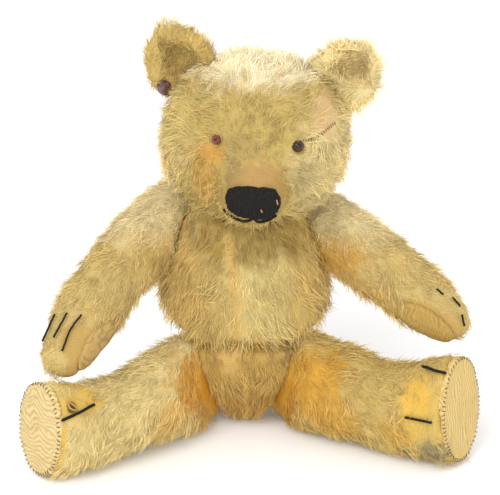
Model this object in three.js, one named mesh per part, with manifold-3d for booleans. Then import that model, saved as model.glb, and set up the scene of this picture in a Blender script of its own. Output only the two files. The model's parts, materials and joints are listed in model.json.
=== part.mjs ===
// A threadbare jointed teddy bear, sitting with its paws on its feet, in millimetres, +Z up.
// It faces -Y, so its own right side is -X. The origin is the middle of the flat of its seat.
// Five joints (neck, two shoulders, two hips) are pairs of hardboard discs drawn together by a
// steel split pin through the plush covers. Each cover is a sewn bag with its own filling.

import * as THREE from 'three';
import { mergeVertices } from 'three/addons/utils/BufferGeometryUtils.js';
import Module from 'manifold-3d';

const wasm = await Module();
wasm.setup();
const { Manifold, Mesh: SolidMesh } = wasm;

// ---------------------------------------------------------------- driving dimensions

const CLEAR = 0.3; // gap between pieces that touch
const CLOTH = 2.0; // plush with its pile pressed flat
const THREAD = 0.8; // radius of the wool that sews nose, mouth and claws

const DISC = { thick: 2.6, washer: 1, washerRadius: 7, pinRadius: 1.4, hole: 2.0 };
const EYE_RADIUS = 4.6;
const STUD_RADIUS = 5.6;

const OUTSIDE = { around: 18, rows: 12 }; // facets of a bag's outer face
const INSIDE = { around: 10, rows: 8 }; // facets of its lining and filling, which nobody sees

const v = (x, y, z) => new THREE.Vector3(x, y, z);

// Each joint: where the two covers meet, the way from the body to the limb, the radius that
// lies flat, how steeply the covers part outside it, and the radius of the hardboard discs.
// A leg swings down past the front of the torso, so under the belly the covers part more gently.
const SWING = { flare: 0.72, below: 78, before: 24 };
const JOINTS = {
  neck: { at: v(3, -4, 170), axis: v(0.09, -0.14, 1), flat: 26, flare: 0.3, disc: 18 },
  shoulder_right: { at: v(-48, -2, 150), axis: v(-0.93, 0.06, 0.36), flat: 20, flare: 0.22, disc: 10 },
  shoulder_left: { at: v(50, 0, 144), axis: v(0.93, 0.1, 0.36), flat: 20, flare: 0.22, disc: 10 },
  hip_right: { at: v(-18, -23, 40), axis: v(-0.88, 0.42, -0.2), flat: 43, flare: 1.6, disc: 16, swing: SWING },
  hip_left: { at: v(18, -21, 40), axis: v(0.88, 0.42, -0.2), flat: 43, flare: 1.6, disc: 16, swing: SWING },
};
for (const joint of Object.values(JOINTS)) joint.axis.normalize();

// Each bag: a spine from end to end, with half-widths and half-depths at even steps along it.
// `side` is the way its width points, and `blunt` squares its ends (2 is an egg).
const TORSO = {
  spine: [v(0, 14, -12), v(0, -6, 48), v(0, -8, 106), v(2, -3, 190)],
  wide: [50, 66, 67, 63, 54],
  deep: [38, 56, 56, 48, 40],
  side: v(1, 0, 0),
  blunt: 2.7,
};
const ARM_RIGHT = {
  spine: [v(-46, 11, 179), v(-68, -9, 151), v(-106, -54, 117), v(-129, -90, 88), v(-140, -110, 75)],
  wide: [27, 28, 25, 26, 26],
  deep: [25, 26, 23, 24, 22],
  side: v(1, 0, -0.4),
  blunt: 2.6,
};
const ARM_LEFT = {
  spine: [v(49, 14, 169), v(70, -7, 146), v(112, -42, 124), v(147, -74, 105), v(162, -88, 97)],
  wide: [27, 28, 26, 25, 23],
  deep: [25, 26, 24, 24, 22],
  side: v(1, 0, 0.4),
  blunt: 2.6,
};
const LEG_RIGHT = {
  spine: [v(-22, 6, 37), v(-40, -40, 37), v(-80, -75, 33), v(-113, -102, 27), v(-147, -125, 39), v(-172, -145, 42)],
  wide: [29, 36, 34, 29, 29, 29],
  deep: [30, 38, 34, 25, 39, 41],
  side: v(0.68, -0.73, 0),
  blunt: 3.6,
};
const LEG_LEFT = {
  spine: [v(22, 8, 38), v(43, -36, 38), v(86, -63, 36), v(122, -85, 30), v(156, -105, 45), v(184, -124, 49)],
  wide: [29, 36, 35, 30, 30, 30],
  deep: [30, 38, 37, 28, 45, 48],
  side: v(0.6, 0.8, 0),
  blunt: 3.6,
};
const SOLES = {
  right: { at: v(-149, -126, 39), axis: v(-0.75, -0.64, 0.1), wide: 25, tall: 36 },
  left: { at: v(159, -106, 45), axis: v(0.8, -0.58, 0.08), wide: 26, tall: 41 },
};
const PALMS = {
  right: { at: v(-119, -76, 99), axis: v(0.6, -0.64, -0.48), along: v(-0.45, -0.7, -0.5) },
  left: { at: v(137, -66, 110), axis: v(-0.25, -0.86, -0.42), along: v(0.8, -0.5, -0.4) },
};
const PALM = { wide: 13, long: 23 };

// The head is drawn upright over its neck disc, then tipped onto the neck's axis.
const SKULL = { spine: [v(0, -3, -8), v(0, -3, 121)], wide: [70, 70], deep: [60, 60], side: v(1, 0, 0), blunt: 2.15 };
const MUZZLE = {
  spine: [v(0, -10, 48), v(0, -48, 43), v(0, -87, 37)],
  wide: [36, 30, 24],
  deep: [34, 28, 22],
  side: v(1, 0, 0),
  blunt: 2.8,
};
const HEAD_TURN = 5.5; // degrees to its own left
const CHEEK = { at: v(34, -16, 44), size: v(32, 32, 32) };
const EAR = { at: v(60, 8, 104), size: v(29, 11, 33), cup: v(22, 10, 26), lean: 36, turn: 14 };
const EYE = { x: 30, z: 75 };
const NOSE = { z: 41, wide: 19, tall: 12.5, thick: 2.4 };
const STUD = v(-60, -5, 259);

// Black wool: the mouth and what is left of the claws. Each is laid on its surface from the
// front, under the points it passes over.
const FROM_FRONT = v(0, 0.927, -0.375);
const STITCHES = [
  ['mouth_right', 'head', [v(-11, -90, 192), v(-4, -90, 188), v(2.6, -90, 189.5)]],
  ['mouth_left', 'head', [v(6, -90, 189.5), v(12, -90, 187), v(17, -90, 189)]],
  ['claw_arm_right_1', 'arm_right', [v(-138, -95, 115), v(-146, -95, 95)]],
  ['claw_arm_right_2', 'arm_right', [v(-129, -95, 116), v(-138, -95, 98)]],
  ['claw_arm_right_3', 'arm_right', [v(-119, -95, 115), v(-126, -95, 104), v(-132, -95, 88)]],
  ['claw_arm_left_1', 'arm_left', [v(141, -80, 129), v(145, -80, 125)]],
  ['claw_arm_left_2', 'arm_left', [v(152, -80, 122), v(157, -80, 116)]],
  ['claw_arm_left_3', 'arm_left', [v(158, -80, 109), v(160, -80, 101)]],
  ['claw_leg_right', 'leg_right', [v(-131, -125, 47), v(-110, -125, 57)]],
  ['claw_leg_left_1', 'leg_left', [v(131, -105, 78), v(146, -105, 74)]],
  ['claw_leg_left_2', 'leg_left', [v(118, -110, 41), v(136, -110, 38)]],
];

// ---------------------------------------------------------------- finishes

const finish = (color, roughness, metalness = 0) =>
  new THREE.MeshStandardMaterial({ color, roughness, metalness });
const MOHAIR = finish('#cfae68', 0.95);
const WOOD_WOOL = finish('#c9a873', 1);
const HARDBOARD = finish('#7a5a3a', 0.9);
const STEEL = finish('#8d8a83', 0.45, 1);
const LINEN = finish('#e0c690', 0.95);
const EAR_PLUSH = finish('#c2a25c', 0.95);
const BLACK_WOOL = finish('#26221d', 0.95);
const GLASS = finish('#3a2412', 0.1);
const BROWN_TIN = finish('#5b3a33', 0.5, 0.6);

// ---------------------------------------------------------------- solids

/** A closed solid from a three.js geometry. */
function solid(geometry) {
  const bare = geometry.index ? geometry.toNonIndexed() : geometry.clone();
  bare.deleteAttribute('uv');
  bare.deleteAttribute('normal');
  const merged = mergeVertices(bare, 1e-4);
  const shell = new SolidMesh({
    numProp: 3,
    vertProperties: new Float32Array(merged.attributes.position.array),
    triVerts: new Uint32Array(merged.index.array),
  });
  return new Manifold(shell);
}

/** A three.js geometry from a solid. */
function geometryOf(body) {
  const shell = body.getMesh();
  const geometry = new THREE.BufferGeometry();
  geometry.setAttribute('position', new THREE.BufferAttribute(new Float32Array(shell.vertProperties), 3));
  geometry.setIndex(new THREE.BufferAttribute(new Uint32Array(shell.triVerts), 1));
  return geometry;
}

/** The transform that puts +Y of a drawing along `axis`, with its origin at `at`. */
function along(at, axis) {
  const turn = new THREE.Quaternion().setFromUnitVectors(v(0, 1, 0), axis.clone().normalize());
  return new THREE.Matrix4().compose(at, turn, v(1, 1, 1));
}

/** Mixes a list of numbers smoothly: t runs from 0 at the first to 1 at the last. */
function mix(values, t) {
  const curve = new THREE.CatmullRomCurve3(values.map((value, i) => v(value, i, 0)));
  return curve.getPoint(THREE.MathUtils.clamp(t, 0, 1)).x;
}

/** A stuffed bag, `inset` inside its outer face: a sphere drawn out along the spine. */
function bag(shape, inset = 0, scale = 1) {
  const facets = inset > 0 ? INSIDE : OUTSIDE;
  const around = Math.round(facets.around * scale);
  const rows = Math.round(facets.rows * scale);
  const curve = new THREE.CatmullRomCurve3(shape.spine);
  const length = curve.getLength();
  const geometry = new THREE.SphereGeometry(1, around, rows);
  const place = geometry.attributes.position;
  for (let i = 0; i < place.count; i += 1) {
    const [x, y, z] = [place.getX(i), place.getY(i), place.getZ(i)];
    const round = Math.hypot(x, z);
    const t = 0.5 - 0.5 * Math.sign(y) * Math.abs(y) ** (2 / shape.blunt);
    const reach = inset / length + t * (1 - (2 * inset) / length);
    const tangent = curve.getTangentAt(THREE.MathUtils.clamp(reach, 0, 1));
    const across = shape.side.clone().addScaledVector(tangent, -shape.side.dot(tangent)).normalize();
    const over = tangent.clone().cross(across);
    const swell = round > 1e-6 ? round ** (2 / shape.blunt) / round : 0;
    const point = curve.getPointAt(THREE.MathUtils.clamp(reach, 0, 1));
    point.addScaledVector(across, (mix(shape.wide, t) - inset) * swell * x);
    point.addScaledVector(over, (mix(shape.deep, t) - inset) * swell * z);
    place.setXYZ(i, point.x, point.y, point.z);
  }
  return solid(geometry);
}

/** An egg-shaped solid, `inset` inside its outer face. */
function egg(at, size, inset = 0) {
  const { around, rows } = inset > 0 ? INSIDE : OUTSIDE;
  const geometry = new THREE.SphereGeometry(1, around, rows);
  geometry.scale(size.x - inset, size.y - inset, size.z - inset);
  geometry.translate(at.x, at.y, at.z);
  return solid(geometry);
}

/** A round solid turned about an axis, from (radius, height) corners that start and end on it. */
function turned(corners, at, axis, sides = 14) {
  const outline = corners.map(([radius, height]) => new THREE.Vector2(radius, height));
  return solid(new THREE.LatheGeometry(outline, sides).applyMatrix4(along(at, axis)));
}

/** A flat disc from `low` to `high` along an axis, with a hole through it where `hole` is set. */
function disc(radius, low, high, at, axis, hole = 0, sides = 14) {
  const plate = turned([[0, low], [radius, low], [radius, high], [0, high]], at, axis, sides);
  if (!hole) return plate;
  const bore = turned([[0, low - 1], [hole, low - 1], [hole, high + 1], [0, high + 1]], at, axis, 6);
  return plate.subtract(bore);
}

/** An oval bar that runs both ways from `at` along `axis`, wide across and tall along `up`. */
function ovalBar(at, axis, up, wide, tall, low, high) {
  const out = axis.clone().normalize();
  const rise = up.clone().addScaledVector(out, -up.dot(out)).normalize();
  const across = out.clone().cross(rise);
  const oval = new THREE.CylinderGeometry(1, 1, high - low, 20);
  oval.translate(0, (high + low) / 2, 0);
  oval.scale(wide, 1, tall);
  const turn = new THREE.Matrix4().makeBasis(across.clone().negate(), out, rise);
  if (turn.determinant() < 0) turn.makeBasis(across, out, rise);
  return solid(oval.applyMatrix4(turn.setPosition(at)));
}

/** A round thread or wire along a list of points. */
function strand(points, radius, steps = 5) {
  const ring = new THREE.Shape().absarc(0, 0, radius, 0, Math.PI * 2);
  const path = new THREE.CatmullRomCurve3(points);
  const options = { steps, curveSegments: 3, bevelEnabled: false, extrudePath: path };
  return solid(new THREE.ExtrudeGeometry(ring, options));
}

/** What lies on the limb's side of a joint, out to the radius that the limb sweeps. */
function beyond(joint, start) {
  const { at, axis, flat, flare } = joint;
  const reach = 260;
  const top = 300;
  const corners = [[0, start], [flat, start], [reach, start + (reach - flat) * flare], [reach, top], [0, top]];
  return turned(corners, at, axis, 20);
}

/** What lies on the body's side of a joint, out to the radius that the limb sweeps. */
function behind(joint, end) {
  const { at, axis, flat, flare } = joint;
  const reach = 260;
  const corners = [[0, -200], [reach, -200], [reach, end + (reach - flat) * flare], [flat, end], [0, end]];
  return turned(corners, at, axis, 20);
}

/** The floor's side of everything, up to `height`. */
function ground(height) {
  return solid(new THREE.BoxGeometry(900, 900, 200).translate(0, 0, height - 100));
}

// ---------------------------------------------------------------- the shapes of the stuffed pieces

const HALF_GAP = 0.4; // the plush of two covers is pressed together over their discs

/** The torso, `inset` inside its outer face: a pear cut back where each limb sweeps past it. */
function torsoShape(inset) {
  let body = bag(TORSO, inset, 1.2).subtract(ground(inset));
  for (const joint of Object.values(JOINTS)) {
    body = body.subtract(beyond(joint, -HALF_GAP - inset));
    if (joint.swing) {
      const { flare, below, before } = joint.swing;
      const low = solid(new THREE.BoxGeometry(900, 400, 400).translate(0, before + inset - 200, below + inset - 200));
      body = body.subtract(beyond({ ...joint, flare }, -HALF_GAP - inset).intersect(low));
    }
  }
  return body;
}

/** An arm or a leg, `inset` inside its outer face, resting on the floor and flat on its disc. */
function limbShape(shape, joint, inset, sole = null) {
  const pressed = disc(300, -300, HALF_GAP + inset, joint.at, joint.axis);
  const limb = bag(shape, inset).subtract(pressed).subtract(ground(inset)).subtract(torsoShape(-2 * HALF_GAP - inset));
  return sole ? limb.subtract(disc(90, -inset, 120, sole.at, sole.axis)) : limb;
}

const HEAD_PLACE = (() => {
  const tip = along(JOINTS.neck.at, JOINTS.neck.axis);
  return tip.multiply(new THREE.Matrix4().makeRotationX(-Math.PI / 2)).multiply(
    new THREE.Matrix4().makeRotationZ(THREE.MathUtils.degToRad(HEAD_TURN)),
  );
})();

/** A solid drawn upright over the neck disc, moved to where the head sits. */
function onHead(body) {
  return body.transform(HEAD_PLACE.elements);
}

/** The head, `inset` inside its outer face, without its ears. */
function headShape(inset) {
  let head = bag(SKULL, inset, 1.25).add(bag(MUZZLE, inset, 0.9));
  for (const side of [-1, 1]) {
    head = head.add(egg(v(side * CHEEK.at.x, CHEEK.at.y, CHEEK.at.z), CHEEK.size, inset));
  }
  return onHead(head).subtract(behind(JOINTS.neck, HALF_GAP + inset));
}

// ---------------------------------------------------------------- building

const bear = new THREE.Group();
bear.name = 'teddy_bear';

/** Adds one named piece to the bear. */
function add(name, body, material) {
  const mesh = new THREE.Mesh(geometryOf(body), material);
  mesh.name = name;
  bear.add(mesh);
  return mesh;
}

/** A long bore through both covers of a joint for its pin. */
function pinBore(joint) {
  return disc(DISC.hole, -30, 30, joint.at, joint.axis, 0, 8);
}

/** The room that a joint's discs, washers and pin take on one side: -1 body, 1 limb. */
function discRoom(joint, side) {
  const start = HALF_GAP + CLOTH;
  const ends = [side * (start - 3), side * (start + 14)].sort((a, b) => a - b);
  return disc(joint.disc + CLEAR, ends[0], ends[1], joint.at, joint.axis);
}

/** A steel split pin: an eye in the body, a straight shank, and two ends rolled open in the limb. */
function splitPin(joint) {
  const { pinRadius, thick, washer } = DISC;
  const half = HALF_GAP + CLOTH + CLEAR + thick + CLEAR + washer + CLEAR;
  const place = along(joint.at, joint.axis);
  const shank = disc(pinRadius, -half - 2, half + 0.6, joint.at, joint.axis, 0, 8);
  const ring = new THREE.TorusGeometry(2.6, 1.2, 4, 7).translate(0, -half - 3.4, 0).applyMatrix4(place);
  let pin = shank.add(solid(ring));
  for (const way of [-1, 1]) {
    const roll = [v(0, half, 0), v(way * 0.6, half + 2.6, 0), v(way * 3.4, half + 4.4, 0)];
    roll.push(v(way * 6, half + 2.8, 0), v(way * 5.4, half + 1.2, 0));
    pin = pin.add(strand(roll.map((point) => point.applyMatrix4(place)), 0.8));
  }
  return pin;
}

/** Discs, washers and pin of one joint, named for it. */
function fitJoint(name, joint) {
  const { thick, washer, washerRadius, hole } = DISC;
  for (const [end, side] of [['body', -1], ['limb', 1]]) {
    const board = HALF_GAP + CLOTH + CLEAR;
    const plate = board + thick + CLEAR;
    const span = (from, to) => [side * from, side * to].sort((a, b) => a - b);
    const [boardLow, boardHigh] = span(board, board + thick);
    const [plateLow, plateHigh] = span(plate, plate + washer);
    const { at, axis } = joint;
    add(`${name}_disc_${end}`, disc(joint.disc, boardLow, boardHigh, at, axis, hole), HARDBOARD);
    add(`${name}_washer_${end}`, disc(washerRadius, plateLow, plateHigh, at, axis, hole, 10), STEEL);
  }
  add(`${name}_split_pin`, splitPin(joint), STEEL);
}

/** A sewn cover with its openings cut, and the filling inside it, both clear of the bores. */
function coverAndFilling(name, shapeAt, joints, openings, bores = []) {
  const outer = shapeAt(0);
  let cover = outer.subtract(shapeAt(CLOTH));
  let filling = shapeAt(CLOTH + CLEAR);
  for (const [joint, side] of joints) {
    cover = cover.subtract(pinBore(joint));
    filling = filling.subtract(discRoom(joint, side));
  }
  for (const opening of [...openings, ...bores]) cover = cover.subtract(opening);
  for (const bore of bores) filling = filling.subtract(bore);
  add(`${name}_cover`, cover, MOHAIR);
  add(`${name}_filling`, filling, WOOD_WOOL);
  return outer;
}

/** Where a straight line first meets a surface, and the way that surface faces there. */
function land(surface, from, way) {
  const hit = new THREE.Raycaster(from, way.clone().normalize()).intersectObject(surface)[0];
  return { point: hit.point, facing: hit.face.normal };
}

/** A thread sewn over a surface, laid along its marks from the front. */
function stitch(name, surface, marks) {
  const route = new THREE.CatmullRomCurve3(marks).getPoints(7);
  const back = FROM_FRONT.clone().multiplyScalar(-150);
  const laid = route.map((mark) => {
    const { point, facing } = land(surface, mark.clone().add(back), FROM_FRONT);
    return point.addScaledVector(facing, THREAD + 2 * CLEAR);
  });
  add(name, strand(laid, THREAD), BLACK_WOOL);
}

// Torso.
const torsoJoints = Object.values(JOINTS).map((joint) => [joint, -1]);
coverAndFilling('torso', torsoShape, torsoJoints, []);
for (const [name, joint] of Object.entries(JOINTS)) fitJoint(name, joint);

// Arms and legs: each has a linen pad let into its cover, sewn edge to edge.
const LIMBS = [
  ['arm_right', ARM_RIGHT, JOINTS.shoulder_right, PALMS.right, null],
  ['arm_left', ARM_LEFT, JOINTS.shoulder_left, PALMS.left, null],
  ['leg_right', LEG_RIGHT, JOINTS.hip_right, null, SOLES.right],
  ['leg_left', LEG_LEFT, JOINTS.hip_left, null, SOLES.left],
];
const skins = {};
for (const [name, shape, joint, palm, sole] of LIMBS) {
  const shapeAt = (inset) => limbShape(shape, joint, inset, sole);
  const bar = (grow) =>
    sole
      ? ovalBar(sole.at, sole.axis, v(0, 0, 1), sole.wide + grow, sole.tall + grow, -4, 12)
      : ovalBar(palm.at, palm.axis, palm.along, PALM.wide + grow, PALM.long + grow, 0, 45);
  const outer = coverAndFilling(name, shapeAt, [[joint, 1]], [bar(CLEAR)]);
  add(`${name}_${sole ? 'sole' : 'paw'}_pad`, outer.subtract(shapeAt(CLOTH)).intersect(bar(0)), LINEN);
  skins[name] = new THREE.Mesh(geometryOf(outer));
}

// Head: eyes on wire shanks, pulled into the plush.
skins.head = new THREE.Mesh(geometryOf(headShape(0)));
const headPoint = (x, y, z) => v(x, y, z).applyMatrix4(HEAD_PLACE);
const headWay = (x, y, z) => v(x, y, z).transformDirection(HEAD_PLACE);
const sockets = [];
for (const [side, name] of [[-1, 'right'], [1, 'left']]) {
  const inward = headWay(-side * 0.35, 1, -0.1);
  const start = headPoint(side * EYE.x, -54, EYE.z).addScaledVector(inward, -60);
  const seat = land(skins.head, start, inward).point.addScaledVector(inward, 0.6);
  const ball = (radius) => solid(new THREE.SphereGeometry(radius, 12, 8).translate(seat.x, seat.y, seat.z));
  const deep = seat.clone().addScaledVector(inward, 12);
  const wire = (radius, tip) => disc(radius, 0, tip, seat, inward, 0, 8);
  const loop = new THREE.TorusGeometry(1.8, 0.7, 4, 8).translate(deep.x, deep.y, deep.z);
  add(`eye_${name}`, ball(EYE_RADIUS).add(wire(0.7, 11)).add(solid(loop)), GLASS);
  sockets.push(ball(EYE_RADIUS + CLEAR).add(disc(3, 0, 15.5, seat, inward, 0, 10)));
}
coverAndFilling('head', headShape, [[JOINTS.neck, 1]], [], sockets);

// Ears: cupped plush, sewn on the top corners of the head.
for (const [side, name] of [[-1, 'right'], [1, 'left']]) {
  const { at, size, cup, lean, turn } = EAR;
  const pose = new THREE.Matrix4()
    .makeTranslation(side * at.x, at.y, at.z)
    .multiply(new THREE.Matrix4().makeRotationZ(THREE.MathUtils.degToRad(side * turn)))
    .multiply(new THREE.Matrix4().makeRotationY(THREE.MathUtils.degToRad(side * lean)));
  const hollow = egg(v(0, -cup.y, -2), cup);
  const ear = egg(v(0, 0, 0), size).subtract(hollow).transform(pose.elements);
  add(`ear_${name}`, onHead(ear).subtract(headShape(-CLEAR)), EAR_PLUSH);
}

// Nose, mouth and claws: black wool sewn over the surface.
const noseBar = ovalBar(
  headPoint(0, -60, NOSE.z), headWay(0, -1, 0.12), headWay(0, 0, 1), NOSE.wide, NOSE.tall, 0, 60);
const nose = headShape(-NOSE.thick).subtract(headShape(-CLEAR)).intersect(noseBar);
add('nose', nose, BLACK_WOOL);
skins.head = new THREE.Mesh(geometryOf(headShape(0).add(headShape(-NOSE.thick).intersect(noseBar))));
for (const [name, surface, marks] of STITCHES) stitch(name, skins[surface], marks);

// A plain tin stud sits at the root of the right ear.
const stud = land(bear.getObjectByName('ear_right'), STUD.clone().addScaledVector(FROM_FRONT, -60), FROM_FRONT);
const studCorners = [[0, 0], [STUD_RADIUS, 0], [STUD_RADIUS, 1.4], [2.6, 2.4], [0, 2.6]];
const studSeat = stud.point.addScaledVector(stud.facing, 1.8);
add('ear_stud', turned(studCorners, studSeat, stud.facing), BROWN_TIN);

export default bear;
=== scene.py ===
"""A threadbare jointed mohair teddy bear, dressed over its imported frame.

Sizes are millimetres until a mesh is written, when they turn into metres.
The bear faces -Y and sits on z = 0.
"right" and "left" are the bear's own sides: its right is towards -X.
"""

import json
import logging
import math
from dataclasses import dataclass
from enum import Enum
from typing import Any

import bmesh
import bpy
import numpy as np
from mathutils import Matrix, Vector
from mathutils.bvhtree import BVHTree

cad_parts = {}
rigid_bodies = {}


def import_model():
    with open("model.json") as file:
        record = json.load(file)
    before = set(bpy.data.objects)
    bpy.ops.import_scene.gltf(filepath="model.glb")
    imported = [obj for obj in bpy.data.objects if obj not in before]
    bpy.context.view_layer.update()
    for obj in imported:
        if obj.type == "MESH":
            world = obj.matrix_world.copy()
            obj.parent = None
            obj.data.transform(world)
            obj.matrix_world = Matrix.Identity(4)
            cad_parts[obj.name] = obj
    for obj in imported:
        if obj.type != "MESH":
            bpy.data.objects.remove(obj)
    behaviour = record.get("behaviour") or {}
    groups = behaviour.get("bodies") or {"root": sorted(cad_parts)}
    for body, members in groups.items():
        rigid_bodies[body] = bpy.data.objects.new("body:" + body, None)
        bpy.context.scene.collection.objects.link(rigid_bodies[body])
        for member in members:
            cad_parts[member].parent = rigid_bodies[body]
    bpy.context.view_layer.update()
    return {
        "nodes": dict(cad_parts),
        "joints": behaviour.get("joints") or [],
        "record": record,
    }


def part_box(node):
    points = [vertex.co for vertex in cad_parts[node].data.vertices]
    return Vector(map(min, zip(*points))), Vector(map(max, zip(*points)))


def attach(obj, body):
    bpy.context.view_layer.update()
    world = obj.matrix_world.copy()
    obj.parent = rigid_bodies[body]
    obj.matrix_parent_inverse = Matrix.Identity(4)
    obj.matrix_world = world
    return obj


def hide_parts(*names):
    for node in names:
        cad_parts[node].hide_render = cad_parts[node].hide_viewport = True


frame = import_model()

MM = 0.001
Point = tuple[float, float, float]
Path = tuple[Point, ...]
Stops = tuple[tuple[float, str], ...]
Array = np.ndarray
Tree, Node, Socket = bpy.types.NodeTree, bpy.types.Node, bpy.types.NodeSocket
Mesh, Thing, Material = bpy.types.Mesh, bpy.types.Object, bpy.types.Material
LOG = logging.getLogger("bear")


class Side(Enum):
    """The bear's own sides."""

    RIGHT = "right"
    LEFT = "left"


class Channel(Enum):
    """The fields that a skin hands on to its pile and its materials."""

    COVER = "cover"
    REACH = "reach"
    COMB = "comb"
    DYE = "dye"
    CLOTH = "cloth"
    WEAR = "wear"


# ---------------------------------------------------------------- colour and node helpers


def linear(code: str) -> tuple[float, float, float, float]:
    """Turns an sRGB hex code into the linear colour that shaders take.

    Args:
        code: six hex digits, with or without a leading #.

    Returns:
        Linear red, green and blue, with alpha 1.
    """
    values = [int(code.lstrip("#")[i : i + 2], 16) / 255 for i in (0, 2, 4)]
    bent = [v / 12.92 if v <= 0.04045 else ((v + 0.055) / 1.055) ** 2.4 for v in values]
    return (*bent, 1.0)


def add(tree: Tree, kind: str, inputs: dict[Any, Any] | None = None, **settings: Any) -> Node:
    """Adds one node to a tree with its settings, values and links.

    Args:
        tree: the shader or geometry tree.
        kind: the node's type name.
        inputs: socket name or number to a value, or to the output socket that feeds it.
        settings: the node's own properties.

    Returns:
        The new node.
    """
    node = tree.nodes.new(kind)
    for key, value in settings.items():
        setattr(node, key, value)
    for key, value in (inputs or {}).items():
        if isinstance(value, Socket):
            tree.links.new(value, node.inputs[key])
        else:
            node.inputs[key].default_value = value
    return node


def ramp(tree: Tree, value: Socket, stops: Stops) -> Socket:
    """Colours a value by a row of stops.

    Args:
        tree: the shader tree.
        value: the socket that is read.
        stops: places from 0 to 1, each with its hex colour.

    Returns:
        The colour socket.
    """
    node = add(tree, "ShaderNodeValToRGB", {"Fac": value})
    band = node.color_ramp
    while len(band.elements) < len(stops):
        band.elements.new(0.5)
    for element, (place, code) in zip(band.elements, stops):
        element.position = place
        element.color = linear(code)
    return node.outputs["Color"]


# ---------------------------------------------------------------- fields over a skin


def ripple(points: Array, size: float, seed: int, waves: int = 14) -> Array:
    """A smooth random value over space, made of plane waves.

    Args:
        points: places, in mm.
        size: the usual wavelength, in mm.
        seed: which pattern.
        waves: how many waves are summed.

    Returns:
        One value for each point, mostly from -1 to 1.
    """
    pick = np.random.default_rng(seed)
    ways = pick.normal(size=(waves, 3))
    ways /= np.linalg.norm(ways, axis=1)[:, None]
    rates = 2 * math.pi / (size * pick.uniform(0.7, 1.6, waves))
    phases = pick.uniform(0, 2 * math.pi, waves)
    return np.sin((points @ ways.T) * rates + phases).sum(1) / math.sqrt(waves)


def swirl(points: Array, size: float, seed: int) -> Array:
    """Three ripples as a vector field."""
    return np.stack([ripple(points, size, seed + k) for k in range(3)], 1)


def eased(value: Array) -> Array:
    """A smooth step from 0 to 1."""
    held = np.clip(value, 0, 1)
    return held * held * (3 - 2 * held)


def unit(vectors: Array) -> Array:
    """Each row at length 1."""
    return vectors / np.maximum(np.linalg.norm(vectors, axis=-1, keepdims=True), 1e-9)


def to_path(points: Array, path: Path) -> Array:
    """How far each point is from a path of straight runs, in mm."""
    best = np.full(len(points), 1e9)
    for a, b in zip(path, path[1:]):
        start, run = np.array(a, float), np.array(b, float) - np.array(a, float)
        share = np.clip(((points - start) @ run) / max(run @ run, 1e-9), 0, 1)
        best = np.minimum(best, np.linalg.norm(points - start - share[:, None] * run, axis=1))
    return best


@dataclass(frozen=True)
class Patch:
    """A soft-edged, uneven area of a skin: a bald place, a stain, a bleached place, a painted shade or a
    painted highlight.
    """

    at: Point
    size: Point
    soft: float = 0.35
    strength: float = 1.0
    ragged: float = 0.18
    code: str = ""

    def weight(self, points: Array) -> Array:
        """How strongly each point belongs to the patch, from 0 to 1."""
        away = np.linalg.norm((points - np.array(self.at)) / np.array(self.size), axis=1)
        away = away + self.ragged * ripple(points, 9.0, 71) + 0.5 * self.ragged * ripple(points, 4.0, 72)
        return self.strength * eased((1 + self.soft - away) / self.soft)


@dataclass(frozen=True)
class Groove:
    """A seam or a fold that pulls the skin in along a path."""

    path: Path
    depth: float
    width: float


@dataclass(frozen=True)
class Flow:
    """Which way the pile lies near a place."""

    at: Point
    way: Point
    reach: float = 30.0


def painted(points: Array, base: str, patches: tuple[Patch, ...]) -> Array:
    """A colour for each point: a base, with patches laid over it in order."""
    colour = np.tile(np.array(linear(base)[:3]), (len(points), 1))
    for patch in patches:
        share = patch.weight(points)[:, None]
        colour = colour * (1 - share) + np.array(linear(patch.code)[:3]) * share
    return colour


def combed(points: Array, flows: tuple[Flow, ...], whorl: float, seed: int) -> Array:
    """The way the pile lies at each point, blended from the nearest flows, with gentle whorls."""
    total = np.zeros_like(points)
    for flow in flows:
        away = np.linalg.norm(points - np.array(flow.at), axis=1)
        way = np.array(flow.way)
        total += np.exp(-((away / flow.reach) ** 2))[:, None] * way + 1e-6 * way
    return unit(unit(total) + whorl * swirl(points, 26.0, seed))


# ---------------------------------------------------------------- mesh helpers


def points_of(mesh: Mesh) -> Array:
    """A mesh's vertices, in mm."""
    flat = np.empty(len(mesh.vertices) * 3)
    mesh.vertices.foreach_get("co", flat)
    return flat.reshape(-1, 3) / MM


def normals_of(mesh: Mesh) -> Array:
    """A mesh's vertex normals."""
    flat = np.empty(len(mesh.vertices) * 3)
    mesh.vertices.foreach_get("normal", flat)
    return flat.reshape(-1, 3)


def place(mesh: Mesh, points: Array) -> None:
    """Writes vertices, in mm, back to a mesh."""
    mesh.vertices.foreach_set("co", (points * MM).ravel())
    mesh.update()


def rested(mesh: Mesh) -> None:
    """Presses whatever reaches the floor flat on it, in a layer 3 mm deep that stays 0.1 mm above it."""
    depth, gap = 3.0, 0.1
    points = points_of(mesh)
    low = points[:, 2] < depth
    points[low, 2] = gap + (depth - gap) * np.exp((points[low, 2] - depth) / depth)
    place(mesh, points)


def made(name: str, mesh: Mesh) -> Thing:
    """Links a mesh to the scene as an object at the origin."""
    mesh.name = name
    body = bpy.data.objects.new(name, mesh)
    bpy.context.scene.collection.objects.link(body)
    return body


def gathered(nodes: tuple[str, ...]) -> Mesh:
    """One merged mesh from copies of several frame nodes."""
    build = bmesh.new()
    for node in nodes:
        build.from_mesh(frame["nodes"][node].data)
    bmesh.ops.remove_doubles(build, verts=build.verts, dist=0.01 * MM)
    mesh = bpy.data.meshes.new("gathered")
    build.to_mesh(mesh)
    build.free()
    mesh.materials.clear()
    return mesh


def settled(body: Thing) -> None:
    """Turns an object's modifiers into its mesh and takes them off."""
    graph = bpy.context.evaluated_depsgraph_get()
    mesh = bpy.data.meshes.new_from_object(body.evaluated_get(graph))
    mesh.name = body.name
    body.modifiers.clear()
    old, body.data = body.data, mesh
    bpy.data.meshes.remove(old)


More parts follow.
